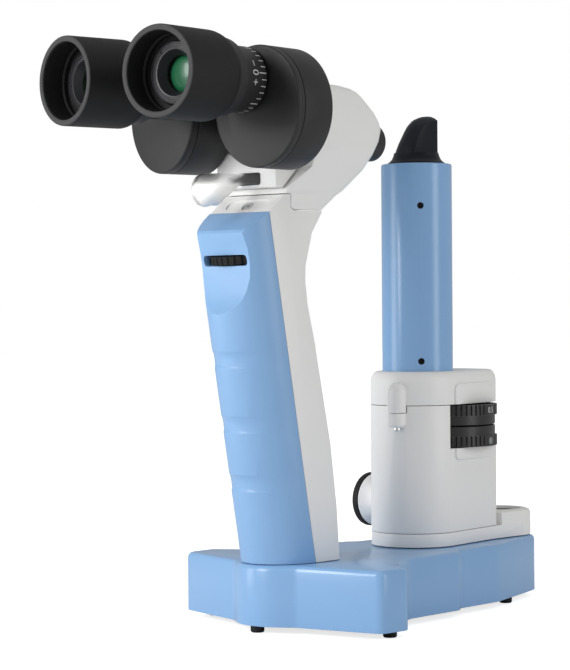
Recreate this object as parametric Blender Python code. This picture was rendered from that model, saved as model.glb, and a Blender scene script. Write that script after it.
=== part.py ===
"""Portable slit lamp: a stand with a handle and a stereo microscope, and a
swinging lamp arm whose axis passes under the microscope's focal point.

Every length below is in millimetres and is turned into metres by MM.  The
frames are empties; x runs to the operator's right, y from the operator to the
patient, z up, and the stand's frame has its zero on the lamp tube's axis.
"""
import math

import bmesh
import bpy
from mathutils import Matrix, Vector

MM = 0.001
GAP = 0.3

# Stand
TUBE_Y = 55.52             # lamp tube's axis, ahead of the middle of the footprint
PIVOT_Y = 57.1             # arm's pivot, ahead of the tube's axis
FOOT_HEIGHT = 3.0
FOOT_RADIUS = 2.9
BASE_TOP = 28.6
BASE_WALL = 2.6
BASE_FEET = {"front": (0.0, -103.0), "wing_left": (-51.4, -77.6), "wing_right": (51.4, -77.6),
             "rear_left": (-19.0, 38.0), "rear_right": (19.0, 38.0)}
BASE_SCREWS = {"front": (0.0, -84.0), "rear": (0.0, 26.0)}

# Handle, leaning towards the operator
HANDLE_LEAN = math.radians(10.13)
HANDLE_FOOT = (-85.7, 29.0)     # y and z where the grip meets the rear shell
HANDLE_HALF_WIDTH = 17.5
GRIP_DEPTH = 20.3
GRIP_WALL = 2.3
FINGER_BANDS = [62.7, 87.2, 114.2]
BAND_HEIGHT = 7.0
BAND_DEPTH = 0.8
WHEEL_RADIUS = 15.2
WHEEL_STANDS_OUT = 2.6

# Microscope
CONVERGENCE = math.radians(6.36)
HINGE = (18.2, -130.5, 206.4)   # light's path into a can, at the can's front
CAN_OFFSET = (10.0, 9.8)        # oval's centre, outwards and up from the hinge
CAN_HALF_WIDTH = 21.7
CAN_HALF_HEIGHT = 24.65
CAN_LENGTH = 22.4
CAN_WALL = 2.2
COVER_DEPTH = 4.0
EYE_OFFSET = (3.36, 20.6)       # eyepiece's axis, outwards and up from the hinge
SPIGOT_RADIUS = 6.0
EYE_RELIEF_RIM = 52.9           # eyecup rim, ahead of the can's front
EYECUP_SEAM = 21.6
OBJECTIVE = (9.5, -40.8, 206.4)
LEVER_AXIS = (0.0, -86.5)

# Lamp arm
ARM_BOTTOM = 29.1
ARM_TOP = 34.9
BOSS_TOP = 41.0
BOSS_RADIUS = 14.6
TOWER_RADIUS = 20.0
TOWER_Y = -1.9              # centre of the tower's round front
TOWER_END_HALF = 14.0
TOWER_END_Y = 40.5
TOWER_WALL = 2.2
DIAL_FLOOR = 72.1
DIAL_WINDOW_Y = -1.2
PAD_Y = (4.2, 36.0)         # along the wall, from the middle of the round front
TOWER_TOP = 91.4
LID_TOP = 106.5
TUBE_RADIUS = 15.8
TUBE_TOP = 198.9
DIAL_Y = 18.0
DIAL_RADIUS = 24.0
STOP_RADIUS = 17.6
KNOB_YZ = (3.5, 47.0)
KNOB_X = -19.4
PRISM_RADIUS = 10.0
PRISM_FACE_Y = 7.9
PRISM_BEND_Z = 201.2
PRISM_TOP_Z = 220.8


# ---------------------------------------------------------------- scene tools

def clear_scene():
    for obj in list(bpy.data.objects):
        bpy.data.objects.remove(obj, do_unlink=True)


def make_material(name, colour, roughness, metallic=0.0, transmission=0.0):
    material = bpy.data.materials.new(name)
    material.use_nodes = True
    shader = material.node_tree.nodes["Principled BSDF"]
    shader.inputs["Base Color"].default_value = (*colour, 1.0)
    shader.inputs["Roughness"].default_value = roughness
    shader.inputs["Metallic"].default_value = metallic
    shader.inputs["Transmission Weight"].default_value = transmission
    material.diffuse_color = (*colour, 1.0)
    return material


FINISHES = {
    "blue": ((0.25, 0.46, 0.74), 0.32, 0.0),
    "white": ((0.74, 0.74, 0.73), 0.38, 0.0),
    "black": ((0.015, 0.015, 0.017), 0.5, 0.0),
    "rubber": ((0.02, 0.02, 0.02), 0.8, 0.0),
    "steel": ((0.62, 0.62, 0.62), 0.3, 1.0),
    "aluminium": ((0.75, 0.75, 0.76), 0.35, 1.0),
    "board": ((0.03, 0.20, 0.08), 0.5, 0.0),
    "cell": ((0.12, 0.30, 0.14), 0.4, 0.0),
    "glass": ((0.85, 0.92, 0.90), 0.05, 0.0),
    "coated": ((0.10, 0.35, 0.18), 0.05, 0.0),
}


def frame(name, place=(0, 0, 0), turn=(0, 0, 0), parent=None):
    """An empty on an axis; turn is an Euler rotation or a rotation matrix."""
    empty = bpy.data.objects.new(name, None)
    bpy.context.scene.collection.objects.link(empty)
    empty.parent = parent
    rotation = turn if isinstance(turn, Matrix) else Matrix.Identity(3)
    if not isinstance(turn, Matrix):
        for index, axis in enumerate("XYZ"):
            rotation = Matrix.Rotation(turn[index], 3, axis) @ rotation
    empty.matrix_local = Matrix.Translation(Vector(place) * MM) @ rotation.to_4x4()
    return empty


def finish(name, bm, finish_name, parent, cutter=False):
    """Turn a bmesh in millimetres into a named object in its frame."""
    bmesh.ops.remove_doubles(bm, verts=bm.verts, dist=0.002)
    bmesh.ops.dissolve_degenerate(bm, edges=bm.edges, dist=0.001)
    bmesh.ops.recalc_face_normals(bm, faces=bm.faces)
    bmesh.ops.scale(bm, vec=(MM, MM, MM), verts=bm.verts)
    mesh = bpy.data.meshes.new(name)
    bm.to_mesh(mesh)
    bm.free()
    obj = bpy.data.objects.new(name, mesh)
    bpy.context.scene.collection.objects.link(obj)
    obj.parent = parent
    if cutter:
        obj.hide_render = True
        obj.display_type = "WIRE"
        return obj
    if finish_name is not None:
        colour, roughness, metallic = FINISHES[finish_name]
        transmission = 0.9 if finish_name in ("glass", "coated") else 0.0
        mesh.materials.append(make_material(name, colour, roughness, metallic, transmission))
        mesh.shade_smooth()
        mesh.set_sharp_from_angle(angle=math.radians(35))
    return obj


def combine(obj, others, operation):
    """Add a Boolean for each other object, in order."""
    for other in others:
        modifier = obj.modifiers.new(operation.lower() + "_" + other.name, "BOOLEAN")
        modifier.operation = operation
        modifier.solver = "EXACT"
        modifier.object = other
    return obj


def cut(obj, *cutters):
    return combine(obj, cutters, "DIFFERENCE")


def add(obj, *others):
    return combine(obj, others, "UNION")


# ---------------------------------------------------------------- shape tools

def ring_loft(rings):
    """Join rings of equally many points; the first and last are capped."""
    bm = bmesh.new()
    loops = [[bm.verts.new(point) for point in ring] for ring in rings]
    for lower, upper in zip(loops, loops[1:]):
        count = len(lower)
        for i in range(count):
            j = (i + 1) % count
            bm.faces.new((lower[i], lower[j], upper[j], upper[i]))
    bm.faces.new(loops[0])
    bm.faces.new(loops[-1])
    return bm


def prism(outline, low, high, axis="Z"):
    """Extrude a flat outline; for axis X the outline is (y, z), for Y (x, z)."""
    bm = bmesh.new()
    place = {"X": lambda a, b: (low, a, b), "Y": lambda a, b: (a, low, b),
             "Z": lambda a, b: (a, b, low)}[axis]
    face = bm.faces.new([bm.verts.new(place(a, b)) for a, b in outline])
    moved = bmesh.ops.extrude_face_region(bm, geom=[face])["geom"]
    points = [item for item in moved if isinstance(item, bmesh.types.BMVert)]
    shift = {"X": (high - low, 0, 0), "Y": (0, high - low, 0), "Z": (0, 0, high - low)}[axis]
    bmesh.ops.translate(bm, vec=shift, verts=points)
    return bm


def turned(profile, segments=28, closed=False):
    """Spin (radius, z) points about Z; a closed profile makes a ring."""
    bm = bmesh.new()
    points = [bm.verts.new((radius, 0, z)) for radius, z in profile]
    edges = [bm.edges.new(pair) for pair in zip(points, points[1:])]
    if closed:
        edges.append(bm.edges.new((points[-1], points[0])))
    bmesh.ops.spin(bm, geom=points + edges, cent=(0, 0, 0), axis=(0, 0, 1),
                   angle=2 * math.pi, steps=segments, use_duplicate=False)
    bmesh.ops.remove_doubles(bm, verts=bm.verts, dist=0.002)
    return bm


def tube(outer, inner, low, high, segments=28):
    return turned([(inner, low), (outer, low), (outer, high), (inner, high)], segments, True)


def rod(radius, low, high, segments=18, centre=(0, 0)):
    bm = turned([(0, low), (radius, low), (radius, high), (0, high)], segments)
    bmesh.ops.translate(bm, vec=(*centre, 0), verts=bm.verts)
    return bm


def cube(low, high):
    return prism([(low[0], low[1]), (high[0], low[1]), (high[0], high[1]), (low[0], high[1])],
                 low[2], high[2])


def merge(*parts):
    """Put several bmeshes in one, as separate solids."""
    whole = bmesh.new()
    scratch = bpy.data.meshes.new("scratch")
    for part in parts:
        part.to_mesh(scratch)
        part.free()
        whole.from_mesh(scratch)
    bpy.data.meshes.remove(scratch)
    return whole


def moved(bm, place=(0, 0, 0), turn=None):
    if turn is not None:
        bmesh.ops.rotate(bm, cent=(0, 0, 0), matrix=turn, verts=bm.verts)
    bmesh.ops.translate(bm, vec=place, verts=bm.verts)
    return bm


def bevel_level(bm, z, width, segments=2):
    """Round the outer edges that lie flat at one height."""
    edges = [edge for edge in bm.edges
             if all(abs(vert.co.z - z) < 0.01 for vert in edge.verts)]
    bmesh.ops.bevel(bm, geom=edges, offset=width, segments=segments, profile=0.5,
                    affect="EDGES", clamp_overlap=True)
    return bm


def arc(centre, radius, start, end, steps):
    """Points on an arc; angles are in degrees."""
    points = []
    for i in range(steps + 1):
        angle = math.radians(start + (end - start) * i / steps)
        points.append((centre[0] + radius * math.cos(angle),
                       centre[1] + radius * math.sin(angle)))
    return points


def round_corners(corners, steps=3):
    """Replace each (x, y, radius) corner of a closed outline by an arc."""
    outline = []
    count = len(corners)
    for i in range(count):
        here = Vector(corners[i][:2])
        radius = corners[i][2]
        before = (Vector(corners[i - 1][:2]) - here).normalized()
        after = (Vector(corners[(i + 1) % count][:2]) - here).normalized()
        if radius <= 0:
            outline.append(tuple(here))
            continue
        half = before.angle(after) / 2
        reach = radius / math.tan(half)
        centre = here + (before + after).normalized() * radius / math.sin(half)
        first = here + before * reach - centre
        last = here + after * reach - centre
        sweep = first.angle_signed(last)
        for k in range(steps + 1):
            turn = Matrix.Rotation(-sweep * k / steps, 2)
            outline.append(tuple(centre + turn @ first))
    return outline


def shrink(outline, amount):
    """Move a closed, convex-ish outline inwards by a distance."""
    count = len(outline)
    area = sum(outline[i - 1][0] * outline[i][1] - outline[i][0] * outline[i - 1][1]
               for i in range(count))
    side = 1 if area > 0 else -1
    result = []
    for i in range(count):
        before = (Vector(outline[i]) - Vector(outline[i - 1])).normalized()
        after = (Vector(outline[(i + 1) % count]) - Vector(outline[i])).normalized()
        normal = Vector((-(before.y + after.y), before.x + after.x)).normalized() * side
        stretch = max(0.5, abs(normal.dot(Vector((-before.y, before.x)))))
        result.append(tuple(Vector(outline[i]) + normal * amount / stretch))
    return result


def domed(outline, low, high, inset, drop, steps=3):
    """Extrude an outline and round its top edge, inset across and drop down."""
    rings = [[(x, y, low) for x, y in outline]]
    for i in range(steps + 1):
        angle = math.radians(90 * i / steps)
        z = high - drop * (1 - math.sin(angle))
        inner = shrink(outline, inset * (1 - math.cos(angle)))
        rings.append([(x, y, z) for x, y in inner])
    return ring_loft(rings)


def mix(table, key):
    """Straight-line value between (key, value) pairs."""
    if key <= table[0][0]:
        return table[0][1]
    for (k0, v0), (k1, v1) in zip(table, table[1:]):
        if key <= k1:
            return v0 + (v1 - v0) * (key - k0) / (k1 - k0)
    return table[-1][1]


# ---------------------------------------------------------------- base

def base_outline(inset=0.0):
    """Round nose, two swept wings, waist, and a round end about the pivot."""
    corners = [(13.0, -102.7, 0.0), (18.5, -99.0, 9.0), (57.6, -89.6, 3.8), (58.2, -73.6, 4.2),
               (44.5, -64.0, 9.0), (36.6, -48.0, 12.0), (34.8, -13.0, 5.0), (31.2, -8.5, 6.0),
               (29.4, 20.0, 30.0), (16.0, 62.0, 0.0)]
    right = round_corners(corners, 3)[1:-1]
    end = arc((0.0, PIVOT_Y), 16.5, 16, 164, 10)
    left = [(-x, y) for x, y in reversed(right)]
    nose = arc((0.0, -86.4), 20.8, 232, 308, 6)
    outline = right + end + left + nose
    return shrink(outline, inset) if inset else outline


def build_base(stand):
    shell = finish("base_shell", domed(base_outline(), FOOT_HEIGHT, BASE_TOP, 2.4, 2.4), "blue", stand)
    hollow = finish("base_hollow", prism(base_outline(BASE_WALL), FOOT_HEIGHT - 2,
                                         BASE_TOP - BASE_WALL), None, stand, True)
    posts = merge(*[moved(tube(3.6, 1.5, 6.0, BASE_TOP - BASE_WALL + 0.5, 16), (x, y, 0))
                    for x, y in BASE_SCREWS.values()])
    bosses = finish("base_bosses", posts, None, stand, True)
    bore = finish("base_bore", rod(5.4, 10.0, 40.0, 20, (0, PIVOT_Y)), None, stand, True)
    socket_hole = moved(rod(4.2, -12.0, 12.0, 16), (-34.0, -30.0, 14.5),
                        Matrix.Rotation(math.pi / 2, 3, "Y"))
    hole = finish("socket_hole", socket_hole, None, stand, True)
    cut(shell, hollow)
    add(shell, bosses)
    cut(shell, bore, hole)

    plate = finish("base_plate", prism(base_outline(BASE_WALL + GAP), FOOT_HEIGHT + GAP, 5.6),
                   "black", stand)
    holes = merge(*[rod(1.6, 0.0, 10.0, 12, place) for place in BASE_SCREWS.values()])
    cut(plate, finish("plate_holes", holes, None, stand, True))

    screw = [(0, 1.8), (2.4, 1.8), (2.7, 2.1), (2.7, 3.0), (1.2, 3.0), (1.2, 14.0), (0, 14.0)]
    for name, (x, y) in BASE_SCREWS.items():
        finish("base_screw_" + name, moved(turned(screw, 10), (x, y, 0)), "steel", stand)

    foot = [(0, 0), (2.4, 0), (FOOT_RADIUS, 0.6), (FOOT_RADIUS, FOOT_HEIGHT), (0, FOOT_HEIGHT)]
    for name, (x, y) in BASE_FEET.items():
        finish("foot_" + name, moved(turned(foot, 14), (x, y, 0)), "rubber", stand)

    socket = [(0, 0), (3.9, 0), (3.9, 9.0), (2.7, 9.0), (2.7, 2.0), (0.8, 2.0), (0.8, 7.5),
              (0, 7.5)]
    socket = moved(turned(socket, 14), (-27.4, -30.0, 14.5),
                   Matrix.Rotation(-math.pi / 2, 3, "Y"))
    finish("charge_socket", socket, "black", stand)


def build_pivot(stand):
    pivot = frame("pivot_frame", (0, PIVOT_Y, 0), parent=stand)
    profile = [(0, 26.0), (2.2, 26.0), (2.2, 36.3), (5.0, 36.3), (5.0, 25.6), (9.0, 25.6),
               (9.0, 22.4), (0, 22.4)]
    finish("pivot_post", turned(profile, 20), "steel", pivot)
    screw = [(0, 27.0), (1.9, 27.0), (1.9, 36.6), (9.6, 36.6), (9.6, 39.4), (9.2, 39.8),
             (0, 39.8)]
    finish("pivot_screw", turned(screw, 24), "black", pivot)


# ---------------------------------------------------------------- handle

def joint_y(z):
    """Where the grip and the rear shell meet, at a height."""
    return HANDLE_FOOT[0] - math.tan(HANDLE_LEAN) * (z - HANDLE_FOOT[1])


def grip_depth(z):
    depth = GRIP_DEPTH
    for middle in FINGER_BANDS:
        away = abs(z - middle) / (BAND_HEIGHT / 2)
        if away < 1:
            depth -= BAND_DEPTH * (1 - away ** 4)
    return depth


def half_oval(z, half_width, depth, back, steps=14):
    """Plan section of the grip: half an oval in front of the joint plane."""
    middle = joint_y(z)
    points = [(half_width * math.cos(math.pi * i / steps),
               middle - depth * math.sin(math.pi * i / steps), z) for i in range(steps + 1)]
    points[0] = (half_width, middle + back, z)
    points[-1] = (-half_width, middle + back, z)
    return points


def build_grip(stand):
    levels = [BASE_TOP + GAP, 45.0]
    for middle in FINGER_BANDS:
        levels += [middle + BAND_HEIGHT * step for step in (-0.5, -0.36, 0, 0.36, 0.5)]
    levels += [132.0, 150.0, 182.0]
    outer = [half_oval(z, HANDLE_HALF_WIDTH, grip_depth(z), -GAP / 2) for z in levels]
    grip = finish("handle_grip", ring_loft(outer), "blue", stand)

    space = [(20.0, GRIP_DEPTH - GRIP_WALL - 0.6), (122.0, GRIP_DEPTH - GRIP_WALL - 0.6),
             (131.0, 9.6), (168.5, 9.6)]
    inner = [half_oval(z, HANDLE_HALF_WIDTH - GRIP_WALL, depth, 6.0) for z, depth in space]
    hollow = finish("grip_hollow", ring_loft(inner), None, stand, True)

    scoop = [(-160, 131.0), (-125.6, 131.0), (-123.6, 134.2), (-121.6, 137.6), (-120.2, 142.0),
             (-119.5, 148.0), (-119.9, 154.0), (-121.2, 160.0), (-123.4, 166.0), (-122.6, 167.4),
             (-111.8, 175.0), (-100.0, 184.0), (-100.0, 200.0), (-160, 200.0)]
    thumb = finish("thumb_scoop", prism(scoop, -30, 30, "X"), None, stand, True)

    wheel = wheel_frame(stand)
    corners = [(-12.6, -2.3, 1.5), (12.6, -2.3, 1.5), (12.6, 2.3, 1.5), (-12.6, 2.3, 1.5)]
    slot = finish("wheel_slot", prism(round_corners(corners), -20, -2, "Y"), None, wheel, True)
    inside = finish("wheel_space", rod(WHEEL_RADIUS + 0.6, -2.3, 2.3, 28), None, wheel, True)
    cut(grip, hollow, thumb, slot, inside)
    return wheel


def wheel_frame(stand):
    reach = WHEEL_RADIUS - WHEEL_STANDS_OUT
    y = -119.9 + reach * math.cos(HANDLE_LEAN)
    z = 155.0 + reach * math.sin(HANDLE_LEAN)
    return frame("wheel_axis", (0, y, z), (HANDLE_LEAN, 0, 0), stand)


REAR_EDGE = [(27.5, -67.8), (51.3, -69.5), (78.2, -73.1), (96.5, -77.1), (120.2, -82.1),
             (137.0, -86.4), (146.5, -87.6), (153.0, -87.4), (166.6, -83.4), (175.5, -77.2),
             (182.8, -67.8)]


def rear_section(z, half_width, back_inset, front):
    corners = [(-half_width, front, 0.0), (half_width, front, 0.0),
               (half_width, mix(REAR_EDGE, z) + 1.6 - back_inset, 7.5 - back_inset),
               (-half_width, mix(REAR_EDGE, z) + 1.6 - back_inset, 7.5 - back_inset)]
    return [(x, y, z) for x, y in round_corners(corners, 3)]


def build_rear_shell(stand, wheel):
    levels = [BASE_TOP + GAP] + [z for z, _ in REAR_EDGE[1:9]] + [175.5, 182.8]
    outer = [rear_section(z, HANDLE_HALF_WIDTH, 0.0, joint_y(z) + GAP / 2) for z in levels]
    shell = finish("handle_shell", ring_loft(outer), "white", stand)
    inner_levels = [20.0] + levels[1:-3] + [168.5]
    inner = [rear_section(z, HANDLE_HALF_WIDTH - 2.4, 2.4, joint_y(z) - 8) for z in inner_levels]
    hollow = finish("shell_hollow", ring_loft(inner), None, stand, True)
    top = [(-125.0, 165.1), (-111.8, 174.6), (-102.6, 182.2), (-99.4, 182.2), (-99.4, 176.8),
           (-97.4, 175.7), (-60.0, 175.7), (-60.0, 200.0), (-125.0, 200.0)]
    trim = finish("shell_trim", prism(top, -30, 30, "X"), None, stand, True)
    slope = frame("slope_frame", (0, -107.4, 178.3), (math.radians(39.6), 0, 0), stand)
    stadium = arc((8.4, 0), 3.3, -90, 90, 8) + arc((-8.4, 0), 3.3, 90, 270, 8)
    recess = finish("screw_recess", prism(stadium, -0.8, 3.0), None, slope, True)
    pocket = finish("screw_pocket", rod(3.0, -2.2, 3.0, 20), None, slope, True)
    hole = finish("screw_hole", rod(1.5, -12.0, 3.0, 12), None, slope, True)
    space = finish("wheel_space_rear", rod(WHEEL_RADIUS + 0.6, -2.3, 2.3, 28), None, wheel, True)
    cut(shell, hollow, trim, recess, pocket, hole, space)
    screw = [(0, -1.5), (1.4, -1.2), (2.4, -1.1), (2.7, -1.3), (2.7, -1.9), (1.2, -1.9),
             (1.2, -9.0), (0, -9.0)]
    finish("grip_screw", turned(screw, 12), "steel", slope)


def build_handle_inside(stand, wheel):
    leaning = frame("handle_axis", (0, *HANDLE_FOOT), (HANDLE_LEAN, 0, 0), stand)
    cell = [(0, 16.0), (9.2, 16.0), (9.2, 80.0), (4.0, 80.0), (4.0, 81.6), (0, 81.6)]
    finish("battery", turned(cell, 20), "cell", leaning)
    finish("control_board", cube((-11.5, 10.6, 12.0), (11.5, 12.2, 98.0)), "board", leaning)

    teeth = 28
    outline = []
    for i in range(teeth * 2):
        radius = WHEEL_RADIUS if i % 2 else WHEEL_RADIUS - 0.7
        angle = math.pi * i / teeth
        outline.append((radius * math.cos(angle), radius * math.sin(angle)))
    disc = finish("brightness_wheel", prism(outline, -1.7, 1.7), "black", wheel)
    hub = finish("wheel_hub", rod(2.0, -8.0, 0.5, 12), None, wheel, True)
    add(disc, hub)
    body = turned([(0, -8.4), (2.3, -8.4), (2.3, -3.2), (7.5, -3.2), (7.5, -9.5), (0, -9.5)], 18)
    finish("brightness_rheostat", body, "black", wheel)


# ---------------------------------------------------------------- microscope

HEAD_REAR = [(176.0, -76.8), (182.8, -67.8), (187.7, -59.2), (192.5, -55.4), (197.6, -51.1),
             (204.0, -45.2), (208.0, -42.9), (211.2, -42.2), (214.5, -43.9), (218.2, -47.6),
             (222.0, -53.2), (225.8, -59.8), (227.6, -65.0), (228.5, -72.0)]
HEAD_EDGE = 4.0
HEAD_FRONT = [(176.0, -97.1), (177.0, -99.1), (182.5, -99.1), (182.6, -102.6), (184.6, -102.8),
              (193.6, -93.3), (200.0, -93.3), (200.3, -105.7), (228.5, -105.7)]


def head_section(z, inset, front=None, sides=0.0):
    """Plan section of the head: wide behind the eyepieces, narrow at the nose."""
    swell = min(1.0, max(0.0, (z - 178.0) / 24.0))
    swell = swell * swell * (3 - 2 * swell)
    front_y = (mix(HEAD_FRONT, z) + inset) if front is None else front
    rear_y = mix(HEAD_REAR, z) - inset
    wide = 17.5 + swell * 12.0
    narrow = 16.5 + swell * 2.5
    slope = (narrow - wide) / (-42.0 + 108.5)
    front_half = wide + slope * (front_y + 108.5) - inset - sides
    rear_half = wide + slope * (rear_y + 108.5) - inset - sides
    corners = [(-front_half, front_y, 0.8), (front_half, front_y, 0.8),
               (rear_half, rear_y, 6.0 - inset), (-rear_half, rear_y, 6.0 - inset)]
    return [(x, y, z) for x, y in round_corners(corners, 3)]


def head_lid_sections():
    """Rounded top edges of the head."""
    top = HEAD_REAR[-1][0]
    sections = []
    for step in range(1, 5):
        angle = math.radians(90 * step / 4)
        z = top - HEAD_EDGE * (1 - math.sin(angle))
        sections.append(head_section(z, 0.0, None, HEAD_EDGE * (1 - math.cos(angle))))
    return sections


def build_head(stand):
    levels = [176.0, 177.0, 182.5, 182.6, 184.6, 193.6, 200.0, 200.3, 206.0, 211.2, 214.5,
              218.2, 224.5]
    outer = [head_section(z, 0.0) for z in levels] + head_lid_sections()
    shell = finish("head_shell", ring_loft(outer), "white", stand)
    low = [head_section(z, 2.5, -90.6) for z in (170.0, 184.0, 190.0, 197.6, 203.0)]
    high = [head_section(z, 2.5, -118.0) for z in (202.5, 208.0, 211.2, 214.5, 218.2, 222.0, 225.5)]
    lower = finish("head_hollow_low", ring_loft(low), None, stand, True)
    upper = finish("head_hollow_high", ring_loft(high), None, stand, True)
    channel = finish("lever_channel", cube((-9.0, -112.0, 185.8), (13.0, -85.0, 191.9)), None,
                     stand, True)
    cutters = [lower, upper, channel]
    for side, name in ((-1, "left"), (1, "right")):
        axis = objective_frame(stand, side, name)
        cutters.append(finish("objective_bore_" + name, rod(8.6, -3.0, 30.0, 24), None, axis, True))
        ring = [(6.9, 0.0), (7.5, 0.0), (8.2, 0.7), (8.2, 15.0), (6.9, 15.0)]
        finish("objective_ring_" + name, turned(ring, 24, True), "black", axis)
        lens = [(0, 3.2), (4.0, 3.5), (6.6, 4.6), (6.6, 7.4), (0, 8.2)]
        finish("objective_lens_" + name, turned(lens, 20), "coated", axis)
    cut(shell, *cutters)


def objective_angle(side):
    return side * math.atan2(OBJECTIVE[0], PIVOT_Y - OBJECTIVE[1])


def objective_turn(angle):
    """Local Z points back to the operator, along the light's path."""
    back = Vector((math.sin(angle), -math.cos(angle), 0))
    up = Vector((0, 0, 1))
    across = up.cross(back)
    return Matrix((across, up, back)).transposed()


def objective_frame(stand, side, name):
    place = (side * OBJECTIVE[0], OBJECTIVE[1], OBJECTIVE[2])
    return frame("objective_axis_" + name, place, objective_turn(objective_angle(side)), stand)


def build_neck(stand):
    profile = [(-107.6, 185.2), (-103.6, 184.9), (-93.7, 194.0), (-93.7, 199.7), (-107.6, 199.7)]
    cover = finish("neck_cover", prism(profile, -17.2, 17.2, "X"), "white", stand)
    hollow = [(-105.4, 186.4), (-101.4, 186.4), (-91.0, 196.4), (-91.0, 197.5), (-105.4, 197.5)]
    inside = finish("neck_hollow", prism(hollow, -14.5, 14.5, "X"), None, stand, True)
    slot = round_corners([(-5.0, 186.2, 1.2), (8.4, 186.2, 1.2), (8.4, 191.4, 1.2),
                          (-5.0, 191.4, 1.2)])
    opening = finish("lever_slot", prism(slot, -112, -100, "Y"), None, stand, True)
    cut(cover, inside, opening)

    axis = frame("lever_axis", (*LEVER_AXIS, 0), parent=stand)
    paddle = [(-4.0, 186.8), (-23.2, 186.8), (-37.0, 177.6)] + arc((-42.9, 183.8), 6.8, 300, 100, 7)
    paddle += [(-34.6, 190.9), (-4.0, 190.9)]
    lever = finish("mag_lever", prism(paddle, -3.15, -0.85, "X"), "steel", axis)
    hub = finish("lever_hub", tube(5.2, 2.8, 186.5, 191.2, 18), None, axis, True)
    bore = finish("lever_bore", rod(2.8, 180, 196, 16), None, axis, True)
    add(lever, hub)
    cut(lever, bore)
    turret = [(0, 182.0), (2.5, 182.0), (2.5, 203.2), (17.5, 203.2), (17.5, 213.0), (0, 213.0)]
    drum = finish("mag_drum", turned(turret, 24), "black", axis)
    barrels = [moved(rod(3.4, -30.0, 30.0, 14), (side * 13.4, 0, 207.6),
                     Matrix.Rotation(math.pi / 2, 3, "X")) for side in (-1, 1)]
    cut(drum, finish("drum_bores", merge(*barrels), None, axis, True))


def can_turn(side):
    back = Vector((side * math.sin(CONVERGENCE), -math.cos(CONVERGENCE), 0))
    up = Vector((0, 0, 1))
    return Matrix((up.cross(back), up, back)).transposed()


def oval(half_width, half_height, z, count=32):
    return [(half_width * math.cos(2 * math.pi * i / count),
             half_height * math.sin(2 * math.pi * i / count), z) for i in range(count)]


def oval_solid(rings, side):
    """Rings are (inset, z) pairs on the can's oval."""
    solid = ring_loft([oval(CAN_HALF_WIDTH - inset, CAN_HALF_HEIGHT - inset, z)
                       for inset, z in rings])
    return moved(solid, (side * CAN_OFFSET[0], CAN_OFFSET[1], 0))


def build_head_plate(stand, cans):
    """Carries both cans; its two front faces are square to their axes."""
    slope = math.tan(CONVERGENCE)
    rear_x = HINGE[0] - (CAN_LENGTH + GAP) * math.sin(CONVERGENCE)
    rear_y = HINGE[1] + (CAN_LENGTH + GAP) * math.cos(CONVERGENCE)
    nose = rear_y - rear_x * slope
    edge = rear_y + (25.9 - rear_x) * slope
    outline = [(-25.9, edge), (0, nose), (25.9, edge), (25.6, -104.4), (-25.6, -104.4)]
    plate = finish("head_plate", prism(outline, 203.2, 225.3), "black", stand)
    spigots, paths = [], []
    for name, can in cans.items():
        spigot = rod(SPIGOT_RADIUS, -CAN_LENGTH - 0.8, -CAN_LENGTH + 2.9, 24)
        spigots.append(finish("spigot_" + name, spigot, None, can, True))
        paths.append(finish("light_path_" + name, rod(3.0, -40.0, -10.0, 14), None, can, True))
    add(plate, *spigots)
    cut(plate, *paths)


def build_can(stand, side, name):
    can = frame("can_axis_" + name, (side * HINGE[0], HINGE[1], HINGE[2]), can_turn(side), stand)
    back = -CAN_LENGTH
    seam = -COVER_DEPTH - GAP
    housing = finish("prism_housing_" + name,
                     oval_solid([(0.7, back), (0, back + 0.7), (0, seam - 0.5), (0.5, seam)],
                                side), "black", can)
    hollow = finish("can_hollow_" + name,
                    oval_solid([(CAN_WALL, back + 2.6), (CAN_WALL, 5.0)], side), None, can,
                    True)
    bore = finish("can_bore_" + name, rod(SPIGOT_RADIUS + GAP, back - 5, back + 3, 24), None, can,
                  True)
    cut(housing, hollow, bore)

    offset = (side * EYE_OFFSET[0], EYE_OFFSET[1])
    cover = finish("housing_cover_" + name,
                   oval_solid([(0.5, -COVER_DEPTH), (0, -COVER_DEPTH + 0.5), (0, -0.8),
                               (0.8, 0)], side), "black", can)
    hole = finish("cover_hole_" + name, rod(9.3, -8.0, 4.0, 24, offset), None, can, True)
    cut(cover, hole)

    lean = math.atan2(offset[1], offset[0]) - math.pi / 2
    block = cube((-4.0, -4.0, -16.4), (4.0, 25.0, -8.0))
    bmesh.ops.rotate(block, cent=(0, 0, 0), matrix=Matrix.Rotation(lean, 3, "Z"),
                     verts=block.verts)
    finish("prism_" + name, block, "glass", can)

    eye = frame("eyepiece_axis_" + name, (*offset, 0), parent=can)
    build_eyepiece(eye, name)
    return can


def build_eyepiece(eye, name):
    """Depths in front of the can: the rim stands EYE_RELIEF_RIM ahead of it."""
    rim = EYE_RELIEF_RIM
    finish("eyepiece_tube_" + name, tube(9.0, 7.2, -3.8, 23.0, 20), "black", eye)

    face = rim - 10.4
    seam = EYECUP_SEAM
    ring = [(9.3, 1.3), (13.4, 1.3), (13.4, seam - 5.6), (16.0, seam - 5.2), (16.0, seam - GAP),
            (12.5, seam - GAP), (12.5, face), (9.6, face), (7.1, face - 3.4), (7.1, face - 4.2),
            (7.7, face - 4.2), (7.7, 24.2), (9.3, 23.4)]
    finish("diopter_ring_" + name, turned(ring, 28, True), "black", eye)

    floor = rim - 12.0
    cup = [(12.9, seam), (15.4, seam), (17.3, seam + 1.4), (18.1, seam + 3.6), (18.1, rim - 0.6),
           (17.4, rim), (16.1, rim), (15.6, rim - 0.7), (15.5, floor), (12.9, floor)]
    finish("eyecup_" + name, turned(cup, 28, True), "rubber", eye)

    lens = [(0, face - 4.4), (4.0, face - 4.9), (7.3, face - 6.4), (7.3, face - 8.4),
            (0, face - 9.8)]
    finish("eye_lens_" + name, turned(lens, 20), "coated", eye)


# ---------------------------------------------------------------- lamp arm

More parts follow.
